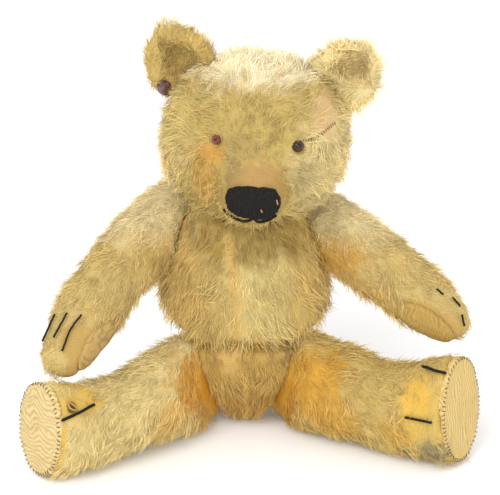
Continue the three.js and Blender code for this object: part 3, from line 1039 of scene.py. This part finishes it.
@dataclass
class Stuffed:
    """A stuffed member of the bear: a skin of backing cloth and the mohair that grows on it."""

    name: str
    body: str
    nodes: tuple[str, ...]
    pads: tuple[str, ...]
    pile: Pile
    flows: tuple[Flow, ...]
    base: str
    stains_and_painted_light: tuple[Patch, ...] = ()
    bald: tuple[Patch, ...] = ()
    short: tuple[Patch, ...] = ()
    cloth: str = "C9AC72"
    cloth_stains_and_painted_shade: tuple[Patch, ...] = ()
    grooves: tuple[Groove, ...] = ()
    swells: tuple[tuple[Patch, Point], ...] = ()
    bare_lines: tuple[tuple[Path, float], ...] = ()
    voxel: float = 4.5
    inset: float = 1.1
    lumps: float = 0.7
    whorl: float = 0.45
    fill: float = 0.8
    skin: Thing | None = None

    def rough_out(self) -> None:
        """Makes the coarse skin that is then stuffed."""
        own = frame["record"]["behaviour"]["bodies"][self.body]
        inside = tuple(n for n in own if n.endswith(INSIDE)) if self.nodes[0].endswith("_cover") else ()
        self.skin = moulded(self.name + "_backing", self.nodes + inside, self.voxel, 3)

    def pressed(self, points: Array) -> Array:
        """How surely each point is on a joint's hidden inner face, from 0 to 1."""
        best = np.zeros(len(points))
        for joint in frame["joints"]:
            if self.body not in (joint["parent"], joint["child"]):
                continue
            at, axis = np.array(joint["pos_m"]) / MM, unit(np.array(joint["axis"], float))
            level = (points - at) @ axis
            around = np.linalg.norm(points - at - level[:, None] * axis, axis=1)
            reach = FLAT_RADIUS[joint["name"][:4]]
            best = np.maximum(best, eased((reach - around) / 3) * eased((6.5 - np.abs(level)) / 3))
        return best

    def shaped(self) -> tuple[Array, Array, Array]:
        """Shapes the skin.

        Returns:
            Its points, the way each one faces, and how surely each one is hidden in a joint.
        """
        finer(self.skin)
        points, out = points_of(self.skin.data), normals_of(self.skin.data)
        hidden = self.pressed(points)
        shift = self.lumps * (0.7 * ripple(points, 34.0, 5) + 0.5 * ripple(points, 13.0, 6)) - self.inset
        for groove in self.grooves:
            shift -= groove.depth * np.exp(-((to_path(points, groove.path) / groove.width) ** 2))
        shift = shift * (1 - hidden) + 0.2 * hidden
        points = points + out * shift[:, None]
        for patch, push in self.swells:
            points = points + patch.weight(points)[:, None] * np.array(push, float)
        place(self.skin.data, points)
        rested(self.skin.data)
        return points, out, hidden

    def covered(self, points: Array, hidden: Array) -> Array:
        """How closely the pile stands at each point, from 0 at a bald place to about 1."""
        cover = (1 - hidden) * (0.95 + 0.2 * ripple(points, 16.0, 9))
        for patch in self.bald:
            cover *= 1 - patch.weight(points)
        for line, width in self.bare_lines:
            cover *= 0.06 + 0.94 * eased((to_path(points, line) - width * 0.5) / width)
        for pad in self.pads:
            near = tree_over(frame["nodes"][pad])
            away = np.array([near.find_nearest(Vector(p))[3] for p in points])
            cover *= eased((away - 1.8) / 2.2)
        return cover

    def dress(self, shop: Workshop) -> None:
        """Shapes the skin, gives it its fields and grows its pile.

        Args:
            shop: the shared trees and finishes.
        """
        skin = self.skin
        points, out, hidden = self.shaped()
        cover = self.covered(points, hidden)
        reach = np.ones(len(points)) * (1 + 0.22 * ripple(points, 22.0, 12))
        for patch in self.short:
            reach *= 1 - patch.weight(points)
        comb = combed(points, self.flows, self.whorl, 31)
        flat = comb - out * (comb * out).sum(1)[:, None]
        dye = painted(points, self.base, self.stains_and_painted_light)
        under = np.clip(cover, 0, 1)[:, None]
        give(skin.data, Channel.COVER, np.clip(cover, 0, 1.2))
        give(skin.data, Channel.REACH, np.clip(reach, 0.25, 1.5))
        give(skin.data, Channel.COMB, unit(flat))
        give(skin.data, Channel.DYE, dye)
        bare = painted(points, self.cloth, self.cloth_stains_and_painted_shade)
        # painted shade: under the pile the cloth takes the pile's colour darkened to 0.86, so the gaps
        # between locks look like shaded, deeper fur
        give(skin.data, Channel.CLOTH, bare * (1 - under) + 0.86 * dye * under)
        pile = grown(skin, shop.pile, self.pile.values(shop.mohair), self.name + "_pile")
        rested(pile.data)
        for spare in ("cover", "reach", "comb", "root", "out", "cell", "patch", "cloth"):
            if spare in pile.data.attributes:
                pile.data.attributes.remove(pile.data.attributes[spare])
        for spare in ("cover", "reach", "comb", "dye"):
            skin.data.attributes.remove(skin.data.attributes[spare])
        skin.data.materials.clear()
        skin.data.materials.append(shop.backing)
        for piece in (skin, pile):
            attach(piece, self.body)
        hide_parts(*self.nodes)
        faces = [len(piece.data.polygons) for piece in (skin, pile)]
        LOG.info("%s: %d faces of skin, %d of pile", self.name, *faces)


@dataclass
class Pad:
    """A pad or a sole of pale linen, sewn on by hand, with ribs or wrinkles along one way."""

    node: str
    body: str
    along: Point
    pitch: float
    depth: float
    code: str
    stains_and_painted_light: tuple[Patch, ...] = ()
    wander: float = 1.6
    voxel: float = 0.95

    def build(self, shop: Workshop) -> Thing:
        """Makes the pad and dresses it.

        Args:
            shop: the shared trees and finishes.

        Returns:
            The pad.
        """
        pad = moulded(self.node + "_cloth", (self.node,), self.voxel, 2)
        points, out = points_of(pad.data), normals_of(pad.data)
        way = unit(np.array(self.along, float))
        wander = self.wander * ripple(points, 17.0, 3) + 0.5 * ripple(points, 6.0, 4)
        phase = (points @ way + wander) / self.pitch
        ribs = np.abs(np.sin(math.pi * phase)) - 0.6
        points = points + out * (0.35 + self.depth * ribs + 0.25 * ripple(points, 14.0, 8))[:, None]
        place(pad.data, points)
        # painted shade: the cloth is darker in the troughs between the ribs and lighter on their crests
        cloth = painted(points, self.code, self.stains_and_painted_light) * (0.68 + 0.4 * np.clip(ribs + 0.6, 0, 1))[:, None]
        give(pad.data, Channel.CLOTH, cloth)
        pad.data.materials.clear()
        pad.data.materials.append(shop.linen)
        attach(pad, self.body)
        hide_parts(self.node)
        LOG.info("%s: %d faces", pad.name, len(pad.data.polygons))
        return pad


# ---------------------------------------------------------------- the bear's members


GOLD, AMBER, STRAW, CREAM, PALE, GREY = "CC9C3A", "B98630", "C8B068", "D2C083", "FAF2CE", "948458"


@dataclass
class Torso:
    """The trunk: a mohair sack with a front seam, a fold under the belly and bare places."""

    seam: Path = (
        (-13, -44, 160), (-12, -47, 149), (-10, -51, 139), (-9, -56, 127),
        (-9, -59, 112), (-9, -62, 97), (-9, -63, 77),
    )
    fold: Path = (
        (-58, -30, 70), (-40, -50, 70), (-22, -59, 71), (-7, -63, 74),
        (11, -62, 72), (30, -57, 72), (46, -44, 70), (60, -26, 72),
    )
    low_seam: Path = ((-9, -63, 77), (-6, -62, 60), (0, -59, 42), (0, -54, 27), (0, -38, 8))

    def member(self) -> Stuffed:
        """The torso as a stuffed member."""
        return Stuffed(
            name="torso",
            body="torso",
            nodes=("torso_cover", "torso_filling"),
            pads=(),
            pile=Pile(per_cm2=29, length=10, thickness=0.34, lift=0.34, curl=4.2, tuft=8, droop=1.6, seed=2),
            flows=(
                Flow((-40, -40, 130), (-0.5, 0, -1), 40),
                Flow((35, -50, 125), (0.5, 0, -1), 40),
                Flow((30, -55, 90), (0.75, 0, -0.8), 30),
                Flow((-30, -50, 90), (-0.4, 0, -1), 30),
                Flow((-28, -50, 50), (0.6, 0, -1), 24),
                Flow((28, -50, 50), (-0.5, 0, -1), 24),
                Flow((0, 40, 100), (0, 0, -1), 60),
            ),
            base=CREAM,
            stains_and_painted_light=(
                Patch((-52, -20, 100), (22, 30, 60), code=GOLD, strength=0.4, soft=0.8),
                Patch((52, -20, 110), (20, 30, 60), code=GOLD, strength=0.4, soft=0.8),
                Patch((-24, -50, 66), (18, 20, 12), code=GOLD, strength=0.35, soft=0.8),
                Patch((25, -62, 100), (20, 20, 30), code=STRAW, strength=0.4, soft=0.8),
                Patch((0, -50, 45), (34, 30, 26), code="B48E40", strength=0.8, soft=0.8),
                Patch((0, -40, 14), (30, 30, 14), code=AMBER, strength=0.5, soft=0.8),
                # painted shade: dark patches along the fold under the belly, where the crease lies in shade
                Patch((-34, -54, 70), (22, 10, 3.4), code="8A6A34", strength=0.7, soft=0.8),
                Patch((0, -63, 72), (18, 8, 3.0), code="8A6A34", strength=0.6, soft=0.8),
                Patch((34, -56, 71), (20, 10, 3.4), code="8A6A34", strength=0.7, soft=0.8),
                Patch((-30, -50, 120), (18, 20, 26), code="B89850", strength=0.5, soft=0.8),
                Patch((-22, -60, 88), (14, 20, 12), code="B89850", strength=0.4, soft=0.8),
                # painted shade: darker gold at the top of the chest, under the chin, where the head shades it
                Patch((4, -44, 160), (36, 24, 16), code="9A7A30", strength=0.7, soft=0.8),
            ),
            bald=(
                Patch((-12, -62, 63), (7, 10, 10), strength=0.85),
                Patch((-5, -60, 110), (4, 8, 30), strength=0.6, soft=0.8),
            ),
            short=(Patch((0, 42, 8), (44, 34, 30), strength=0.75, soft=0.8),),
            cloth="C0A05C",
            cloth_stains_and_painted_shade=(Patch((-12, -62, 63), (12, 12, 14), code="C4A060", strength=0.8),),
            grooves=(
                Groove(self.seam, 1.4, 1.8),
                Groove(self.fold, 4.6, 4.5),
                Groove(self.low_seam, 0.9, 2.0),
            ),
            bare_lines=((self.seam, 3.4), (self.low_seam, 2.0), (self.fold, 1.8)),
        )

    def sew(self, shop: Workshop, skin: Thing) -> None:
        """Closes the front seam with small tan stitches."""
        path = curve_through(self.seam, 3)
        row = shop.seamed("torso_front_stitches", path, tree_over(skin), Stitch(4.2, 1.6, 0.16), shop.tan)
        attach(row, "torso")


@dataclass
class Head:
    """The head: skull, muzzle with bare woven cloth, two ears, glass eyes, and a sewn nose and mouth."""

    mend_line: Path = ((42, -66, 238), (49, -63, 239), (56, -56, 241), (66, -43, 245))

    def member(self) -> Stuffed:
        """The head without its ears as a stuffed member."""
        return Stuffed(
            name="head",
            body="head",
            nodes=("head_cover", "head_filling"),
            pads=(),
            pile=Pile(31, 9.2, 0.3, lift=0.46, curl=4.6, tuft=9, pull=0.9, droop=0.8, seed=4),
            flows=(
                Flow((-45, -50, 215), (-1, 0.3, -0.5), 26),
                Flow((60, -50, 215), (0.9, 0.3, -0.7), 26),
                Flow((8, -68, 245), (0.1, 0.5, 1), 20),
                Flow((-20, -60, 262), (-0.7, 0.2, 0.7), 22),
                Flow((36, -55, 262), (0.8, 0.2, 0.5), 22),
                Flow((8, -40, 285), (0.2, 1, 0.3), 30),
                Flow((-20, -60, 190), (-0.6, 0.2, -1), 24),
                Flow((36, -60, 190), (0.6, 0.2, -1), 24),
                Flow((8, 50, 230), (0, 0.2, -1), 50),
            ),
            base="BEA662",
            stains_and_painted_light=(
                # painted highlight: the top of the head much paler, where the light from above falls on it
                Patch((8, -20, 300), (46, 46, 20), code="F6EAC8", strength=0.9, soft=0.9),
                Patch((-21, -68, 231), (6, 8, 5), code="CE9640", strength=0.6, soft=0.9),
                Patch((-28, -64, 214), (9, 10, 16), code="C99A48", strength=0.55, soft=0.8),
                Patch((-4, -74, 236), (12, 9, 8), code="9C8654", strength=0.45, soft=0.8),
                # painted light: the lower cheek on the bear's left made paler, to offset the shade that the
                # lamps leave there
                Patch((58, -40, 215), (24, 30, 34), code="D8C690", strength=0.8, soft=0.8),
                Patch((-58, -30, 235), (20, 30, 30), code="D6C286", strength=0.6, soft=0.8),
                Patch((42, -64, 208), (9, 10, 10), code=GREY, strength=0.3, soft=0.8),
                Patch((-48, -44, 252), (14, 16, 14), code=STRAW, strength=0.5, soft=0.8),
            ),
            bald=(
                Patch((8, -90, 208), (25, 22, 22), soft=0.25),
                Patch((58, -46, 255), (9, 14, 16), strength=0.97, soft=0.25),
                Patch((-22, -69, 230), (5.5, 7, 4), strength=0.8),
                Patch((-20, -56, 238), (5, 8, 5), strength=1.0),
                Patch((39, -58, 233), (5, 8, 6), strength=1.0),
            ),
            short=(
                Patch((8, -76, 226), (26, 16, 16), strength=0.5, soft=0.7),
                Patch((8, -50, 190), (34, 40, 14), strength=0.4, soft=0.6),
            ),
            cloth="A08248",
            cloth_stains_and_painted_shade=(
                Patch((8, -80, 222), (16, 14, 9), code="B48F5C", strength=0.6, soft=0.6),
                Patch((-13, -74, 224), (9, 11, 11), code="8C784C", strength=0.7, soft=0.8),
                Patch((-21, -69, 231), (7, 8, 5), code="CC9440", strength=0.7, soft=0.8),
                Patch((58, -46, 255), (16, 20, 24), code="C8A878", strength=0.9, soft=0.4),
            ),
            grooves=(
                Groove(((-20, -64, 238), (-20, -56, 240)), 1.6, 4.5),
                Groove(((39, -66, 233), (39, -58, 234)), 1.6, 4.5),
                Groove(self.mend_line, 1.0, 1.8),
            ),
            bare_lines=((self.mend_line, 1.2),),
            voxel=4.0,
            inset=0.9,
            whorl=0.7,
        )

    def ear(self, side: Side) -> Stuffed:
        """One ear: a double cup of mohair with a rim folded forward."""
        right = side is Side.RIGHT
        x = -62 if right else 84
        sign = -1 if right else 1
        return Stuffed(
            name=f"ear_{side.value}",
            body="head",
            nodes=(f"ear_{side.value}",),
            pads=(),
            pile=Pile(58, 8.0, 0.28, lift=0.5, curl=4.8, curl_size=5.5, tuft=7, pull=0.85, droop=0.3, seed=6),
            flows=(
                Flow((x, -12, 280), (0, 0, 1), 16),
                Flow((x + sign * 24, 0, 280), (sign * 0.7, 0, 0.6), 14),
                Flow((x, 20, 270), (0, 0.4, -1), 24),
                Flow((x - sign * 20, -12, 290), (-sign * 0.5, 0, 1), 14),
            ),
            base="C8AE68" if right else "E4D29A",
            stains_and_painted_light=(
                Patch((x - sign * 6, -2, 278), (12, 8, 14), code="C09A54", strength=0.25, soft=0.8),
                Patch((x, 0, 308), (30, 12, 8), code="E0D09C", strength=0.4, soft=0.8),
            ),
            bald=(Patch((-60, -13, 259), (7.5, 12, 7.5), strength=1.0),) if right else (),
            short=(Patch((-78, -18, 284), (16, 14, 26), strength=0.4, soft=0.4),) if right else (),
            grooves=(
                (Groove(((-61, -22, 310), (-62, -20, 292), (-58, -18, 268)), 4.0, 2.6),)
                if right
                else (Groove(((56, -16, 288), (72, -20, 294), (94, -18, 292), (96, -16, 270)), 3.4, 2.6),)
            ),
            swells=(
                (
                    (Patch((-77, -14, 284), (13, 16, 24), ragged=0.05), (3.0, -6.5, 0)),
                    (Patch((-46, -14, 284), (11, 10, 15), ragged=0.05), (0, 4.5, 0)),
                )
                if right
                else (
                    (Patch((78, -14, 306), (26, 16, 9), ragged=0.05), (0, -8.0, -3.0)),
                    (Patch((100, -12, 282), (7, 14, 20), ragged=0.05), (-2.0, -6.5, 0)),
                    (Patch((78, -14, 280), (13, 10, 11), ragged=0.05), (0, 6.0, 0)),
                )
            ),
            cloth="BE9E5C",
            voxel=2.6,
            inset=0.4,
            lumps=0.5,
            whorl=0.6,
            fill=0.1,
        )

    def eye(self, side: Side) -> None:
        """A glass eye in its socket, smaller and worn on the bear's right."""
        node = f"eye_{side.value}"
        low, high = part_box(node)
        centre = np.array((low + high) / 2) / MM
        radius = float(max(high - low)) / MM / 2
        look = unit(np.array([0.04 if side is Side.LEFT else -0.1, -0.9, 0.35]))
        build = bmesh.new()
        bmesh.ops.create_uvsphere(build, u_segments=32, v_segments=20, radius=1.0)
        mesh = bpy.data.meshes.new(node + "_glass")
        build.to_mesh(mesh)
        build.free()
        shape = points_of(mesh) * MM
        turn = np.array(Vector((0, 0, 1)).rotation_difference(Vector(look)).to_matrix())
        depth = 1 - np.clip(shape[:, 2], -1, 1)
        shown, forward = (0.36, 4.6) if side is Side.RIGHT else (0.48, 4.2)
        place(mesh, centre + (shape @ turn.T) * radius * shown + look * forward)
        mesh.shade_smooth()
        glass = made(node + "_glass", mesh)
        away = np.arccos(np.clip(1 - depth, -1, 1)) / (math.pi / 2)
        give(mesh, Channel.WEAR, np.clip(away, 0, 1))
        if side is Side.RIGHT:
            finish = EyeGlass("worn_red_brown_glass", "4A1E14", "7A3A28", "160806")
        else:
            finish = EyeGlass("brown_glass", "1A0E08", "3E2616", "0A0604")
        mesh.materials.append(finish.material())
        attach(glass, "head")
        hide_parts(node)

    def nose(self, shop: Workshop) -> None:
        """The nose: black wool under rows of upright satin stitches, rubbed through in two places."""
        pad = moulded("nose_wool", ("nose",), 1.0, 3)
        points, out = points_of(pad.data), normals_of(pad.data)
        points = points + out * (0.5 + 0.3 * ripple(points, 5.0, 2))[:, None]
        low, high = points.min(0), points.max(0)
        middle, half = (low + high) / 2, (high - low) / 2
        across, height = (points[:, 0] - middle[0]) / half[0], (points[:, 2] - middle[2]) / half[2]
        power = 3.4
        boxy = (np.abs(across) ** power + np.abs(height) ** power) ** (1 / power)
        square = np.hypot(across, height) / np.maximum(boxy, 1e-6)
        upper = np.clip(0.35 + 0.65 * height, 0, 1)
        points[:, 0] = middle[0] + across * half[0] * (1 + (square - 1) * upper) * (1.03 + 0.07 * height)
        points[:, 2] = middle[2] + height * half[2] * (1 + (square - 1) * upper)
        place(pad.data, points)
        pad.data.materials.clear()
        pad.data.materials.append(shop.black)
        tree = tree_over(pad)
        corners = points_of(pad.data)
        low, high = corners.min(0), corners.max(0)
        paths = []
        pick = np.random.default_rng(8)
        for x in np.arange(low[0] + 1.2, high[0] - 1.0, 0.95):
            row = []
            for z in np.linspace(high[2] + 1, low[2] - 1, 22):
                start = Vector((x + pick.uniform(-0.15, 0.15), low[1] - 20, z))
                hit = tree.ray_cast(start, Vector((0, 1, 0)))
                if hit[0] is not None and hit[1].y < -0.15:
                    row.append(tuple(hit[0] + hit[1] * 0.15))
            if len(row) > 3:
                paths.append(row)
        satin = shop.spun("nose_satin_stitch", paths, 0.6, shop.black, 0.35)
        for piece in (pad, satin):
            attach(piece, "head")
        nicks = (((22, -94, 205), (22.6, -94, 201.5)), ((12, -98, 198), (12.4, -98, 195)))
        flecks = [laid(curve_through(nick, 1.0), tree, 0.8) for nick in nicks]
        chips = shop.spun("nose_bare_threads", flecks, 0.5, shop.tan, 0.4)
        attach(chips, "head")
        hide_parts("nose")

    def mouth(self, shop: Workshop, skin: Thing) -> None:
        """The mouth: two curved stitches of black wool under the nose."""
        tree = tree_over(skin)
        lips = {
            Side.RIGHT: ((-15, -76, 190), (-10, -84, 188), (-5, -90, 186.5), (2, -92, 188), (6.5, -93, 191)),
            Side.LEFT: ((6.5, -93, 191), (9, -92, 187.5), (13, -91, 186.5), (18, -88, 188), (22, -84, 190)),
        }
        for side, path in lips.items():
            line = laid(curve_through(path, 1.5), tree, 1.0)
            lip = shop.spun(f"mouth_{side.value}_stitch", [line], 1.0, shop.black, 0.4)
            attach(lip, "head")
            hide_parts(f"mouth_{side.value}")

    def mend(self, shop: Workshop, skin: Thing) -> None:
        """The seam that runs from the left eye to the ear, closed with brown thread."""
        path = curve_through(((43, -66, 238), *self.mend_line[1:]), 2)
        row = shop.seamed("temple_mend_stitches", path, tree_over(skin), Stitch(2.2, 2.2, 0.3), shop.brown)
        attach(row, "head")


@dataclass
class Arm:
    """An arm: a curved mohair sleeve with a linen paw pad and three sewn claws."""

    side: Side

    def member(self) -> Stuffed:
        """The arm as a stuffed member."""
        right = self.side is Side.RIGHT
        paw = (-0.62, -0.6, -0.5) if right else (0.7, -0.6, -0.3)
        sign = -1 if right else 1
        name = f"arm_{self.side.value}"
        gold = (
            (Patch((-70, -10, 140), (20, 30, 20), code=GOLD, strength=0.3, soft=0.8),)
            if right
            else (
                Patch((66, -34, 138), (20, 18, 12), code="D0A040", strength=0.8, soft=0.6),
                Patch((100, -50, 112), (26, 16, 10), code=GOLD, strength=0.3, soft=0.8),
            )
        )
        return Stuffed(
            name=name,
            body=name,
            nodes=(f"{name}_cover", f"{name}_filling"),
            pads=(f"{name}_paw_pad",),
            pile=Pile(per_cm2=36, length=9.0, thickness=0.3, lift=0.36, curl=4.0, tuft=8, droop=1.2, seed=8),
            flows=(
                Flow((sign * 60, -10, 175), (sign * 0.9, -0.3, -0.5), 25),
                Flow((sign * 100, -40, 130), (paw[0], paw[1], paw[2] - 0.2), 30),
                Flow((sign * 140, -85, 100), paw, 30),
            ),
            base="C8B070",
            stains_and_painted_light=(*gold, Patch((sign * 80, 0, 180), (40, 40, 26), code=PALE, strength=0.35, soft=0.9)),
            bald=(
                (Patch((-122, -100, 86), (11, 14, 22), strength=0.97, soft=0.5),)
                if right
                else (
                    Patch((138, -100, 98), (26, 15, 20), strength=0.95, soft=0.5),
                    Patch((84, -50, 122), (16, 12, 10), strength=0.4),
                )
            ),
            short=(Patch((sign * 140, -100, 92), (30, 30, 30), strength=0.6, soft=0.7),),
            cloth="B4975A",
            cloth_stains_and_painted_shade=(
                Patch((sign * 138, -100, 92), (34, 34, 34), code="AC8C4E", strength=0.8, soft=0.6),
            ),
            voxel=3.6,
            inset=0.9,
        )

    def pad(self) -> Pad:
        """The paw pad."""
        if self.side is Side.RIGHT:
            worn = Patch((-120, -106, 84), (12, 12, 12), code="B09054", strength=0.5, soft=0.8)
            return Pad("arm_right_paw_pad", "arm_right", (0.7, -0.5, 0.0), 2.4, 0.12, "B0935C", (worn,))
        worn = Patch((146, -92, 103), (16, 12, 12), code="A8884A", strength=0.4, soft=0.8)
        return Pad("arm_left_paw_pad", "arm_left", (1, 0.1, 0.0), 1.9, 0.2, "AE8F4E", (worn,))

    def claws(self, shop: Workshop) -> None:
        """The claws: single long stitches of black wool, frayed short on the left paw."""
        shop.claws(f"arm_{self.side.value}", 0.8, 0.8)


@dataclass
class Leg:
    """A leg: a bent mohair tube that ends in a foot with a big linen sole."""

    side: Side

    def member(self) -> Stuffed:
        """The leg as a stuffed member."""
        right = self.side is Side.RIGHT
        sign = -1 if right else 1
        name = f"leg_{self.side.value}"
        gold = (
            (
                Patch((-34, -62, 46), (20, 20, 16), code="C8902E", strength=0.8, soft=0.6),
                Patch((-22, -50, 30), (16, 20, 16), code="BE8426", strength=0.8, soft=0.6),
                Patch((-62, -80, 30), (14, 14, 12), code=GOLD, strength=0.6, soft=0.8),
                Patch((-112, -118, 60), (8, 8, 8), code="D6AE48", strength=0.6, soft=0.8),
            )
            if right
            else (
                Patch((52, -64, 50), (24, 18, 16), code="C8952E", strength=0.8, soft=0.6),
                Patch((24, -48, 26), (18, 18, 14), code="B98224", strength=0.85, soft=0.6),
                Patch((68, -78, 30), (20, 14, 12), code=GOLD, strength=0.7, soft=0.8),
                Patch((125, -112, 55), (8, 8, 16), code="DAB04A", strength=0.7, soft=0.8),
                Patch((112, -108, 30), (10, 8, 8), code=GOLD, strength=0.5, soft=0.8),
                Patch((140, -116, 19), (9, 9, 9), code="7E7460", strength=0.7, soft=0.8),
            )
        )
        bald = (
            (
                Patch((-125, -130, 58), (6, 8, 6), soft=0.3),
                Patch((-36, -64, 42), (14, 14, 12), strength=0.5, soft=0.8),
                Patch((-125, -122, 56), (12, 14, 16), strength=0.6, soft=0.7),
            )
            if right
            else (
                Patch((52, -66, 48), (16, 14, 12), strength=0.55, soft=0.8),
                Patch((128, -112, 48), (12, 14, 22), strength=0.7, soft=0.7),
            )
        )
        return Stuffed(
            name=name,
            body=name,
            nodes=(f"{name}_cover", f"{name}_filling"),
            pads=(f"{name}_sole_pad",),
            pile=Pile(30, 10, 0.33, lift=0.34, curl=4.4, tuft=9, pull=0.85, droop=1.4, seed=10),
            flows=(
                Flow((sign * 40, -40, 60), (sign * 0.6, -0.7, -0.5), 30),
                Flow((sign * 60, -70, 30), (sign * 0.8, -0.5, -0.6), 30),
                Flow((sign * 95, -80, 60), (sign * 0.8, -0.5, -0.3), 26),
                Flow((sign * 130, -110, 40), (sign * 0.5, -0.5, -0.7), 26),
            ),
            base="DAC68A" if right else "CAB06A",
            stains_and_painted_light=gold,
            bald=bald,
            short=(Patch((sign * 138, -115, 45), (22, 26, 40), strength=0.45, soft=0.7),),
            cloth="C6A454",
            cloth_stains_and_painted_shade=(
                *gold,
                # dark spot where the hole is: the stuffing inside, darkened with painted shade for the hole's
                # depth
                Patch((-125, -130, 58), (3.6, 5, 3.6), code="3E2A18", strength=0.9, ragged=0.05),
            ),
            voxel=4.0,
            inset=0.9,
        )

    def sole(self) -> Pad:
        """The sole, wrinkled on the right foot and ribbed on the left one."""
        if self.side is Side.RIGHT:
            worn = Patch((-134, -132, 40), (10, 10, 30), code="D8BE86", strength=0.6, soft=0.8)
            return Pad("leg_right_sole_pad", "leg_right", (0.25, 0.3, 1.0), 3.6, 0.5, "D4BC86", (worn,), 3.2)
        dirt = Patch((142, -118, 16), (8, 8, 8), code="8E8266", strength=0.6, soft=0.9)
        return Pad("leg_left_sole_pad", "leg_left", (0.85, 0.5, 0.0), 2.6, 0.55, "D2B678", (dirt,), 1.4)

    def claws(self, shop: Workshop) -> None:
        """The claws: single long stitches of black wool."""
        shop.claws(f"leg_{self.side.value}", 1.1, 0.6)

    def hole(self, shop: Workshop, skin: Thing) -> None:
        """The worn ring of cloth round the small hole in the right foot."""
        if self.side is Side.LEFT:
            return
        turns = np.linspace(0, 2 * math.pi, 19)
        ring = [(-125 + 4.4 * math.cos(a), -130, 58 + 4.4 * math.sin(a)) for a in turns]
        edge = shop.spun("leg_right_hole_edge", [laid(ring, tree_over(skin), 0.5)], 0.8, shop.tan, 0.6)
        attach(edge, "leg_right")

    def hem(self, shop: Workshop, sole: Thing) -> None:
        """Hand stitches of brown thread round the edge of the sole."""
        right = self.side is Side.RIGHT
        at = np.array((-149, -126, 39) if right else (159, -106, 45), float)
        axis = unit(np.array((-0.75, -0.64, 0.1) if right else (0.8, -0.58, 0.08), float))
        wide, tall = (25, 36) if right else (26, 41)
        side = unit(np.cross((0, 0, 1), axis))
        up = np.cross(axis, side)
        side, up = side * wide * 0.97, up * tall * 0.97
        ring = [tuple(at + side * math.cos(a) + up * math.sin(a)) for a in np.linspace(0, 2 * math.pi, 64)]
        name = f"leg_{self.side.value}_sole_stitches"
        row = shop.seamed(name, ring, tree_over(sole), Stitch(3.4, 2.6, 0.32), shop.brown)
        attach(row, f"leg_{self.side.value}")


@dataclass
class Hardware:
    """The discs, washers and split pins of the five joints, and the tin stud in the ear."""

    def dress(self, shop: Workshop) -> None:
        """Gives each kept frame node its finish."""
        for name, node in frame["nodes"].items():
            if name.endswith(("_disc_body", "_disc_limb")):
                finish = shop.board
            elif name.endswith(("_washer_body", "_washer_limb", "_split_pin")):
                finish = shop.steel
            elif name == "ear_stud":
                finish = shop.tin
            else:
                continue
            node.data.materials.clear()
            node.data.materials.append(finish)


@dataclass(frozen=True)
class Studio:
    """A pale floor, soft light from above and in front, and the camera."""

    aim: Point = (4.0, -32.7, 143.4)
    distance: float = 1500.0
    elevation: float = 22.0
    lens: float = 144.0
    floor_half: float = 6.0

    def camera(self) -> None:
        """Sets the camera in place."""
        lens = bpy.data.cameras.new("camera")
        lens.lens = self.lens
        lens.sensor_width = 36.0
        lens.clip_end = 50.0
        eye = bpy.data.objects.new("camera", lens)
        tilt = math.radians(self.elevation)
        aim = Vector(self.aim)
        eye.location = (aim + Vector((0, -math.cos(tilt), math.sin(tilt))) * self.distance) * MM
        eye.rotation_euler = (math.radians(90) - tilt, 0, 0)
        bpy.context.scene.collection.objects.link(eye)
        bpy.context.scene.camera = eye

    def light(self) -> None:
        """Lays the floor and hangs the lights."""
        scene = bpy.context.scene
        scene.view_settings.view_transform = "Standard"
        world = bpy.data.worlds.new("studio")
        scene.world = world
        world.use_nodes = True
        world.node_tree.nodes["Background"].inputs["Color"].default_value = (1, 1, 1, 1)
        world.node_tree.nodes["Background"].inputs["Strength"].default_value = 1.0
        for name, place_at, size, power in (
            ("key", (-0.8, -1.5, 1.9), 1.4, 24.0),
            ("fill", (0.6, -2.4, 0.9), 2.0, 26.0),
        ):
            lamp = bpy.data.lights.new(name, "AREA")
            lamp.energy, lamp.size = power, size
            hung = bpy.data.objects.new(name, lamp)
            hung.location = place_at
            way = Vector((0, 0, 0.12)) - Vector(place_at)
            hung.rotation_euler = way.to_track_quat("-Z", "Y").to_euler()
            scene.collection.objects.link(hung)
        half = self.floor_half
        mesh = bpy.data.meshes.new("floor")
        corners = [(-half, -half, 0), (half, -half, 0), (half, half, 0), (-half, half, 0)]
        mesh.from_pydata(corners, [], [(0, 1, 2, 3)])
        floor = made("floor", mesh)
        paint = bpy.data.materials.new("white_paper")
        paint.use_nodes = True
        face = paint.node_tree.nodes["Principled BSDF"]
        face.inputs["Base Color"].default_value = linear("FCFCFC")
        face.inputs["Roughness"].default_value = 0.9
        mesh.materials.append(paint)


def main() -> None:
    """Builds the bear, member by member, and reports each piece."""
    logging.basicConfig(level=logging.INFO, format="%(name)s %(message)s")
    studio = Studio()
    studio.camera()
    studio.light()
    shop = Workshop()
    torso, head = Torso(), Head()
    arms, legs = [Arm(s) for s in Side], [Leg(s) for s in Side]
    members = [torso.member(), head.member(), *(a.member() for a in arms), *(g.member() for g in legs)]
    ears = [head.ear(s) for s in Side]
    for member in members + ears:
        member.rough_out()
    plumped([m.skin for m in members], 2.0)
    for member in members + ears:
        member.dress(shop)
    torso.sew(shop, members[0].skin)
    for side in Side:
        head.eye(side)
    head.nose(shop)
    head.mouth(shop, members[1].skin)
    head.mend(shop, members[1].skin)
    for arm in arms:
        arm.pad().build(shop)
        arm.claws(shop)
    for leg, member in zip(legs, members[4:]):
        sole = leg.sole().build(shop)
        leg.hole(shop, member.skin)
        leg.claws(shop)
        leg.hem(shop, sole)
    Hardware().dress(shop)


if __name__ == "__main__":
    main()
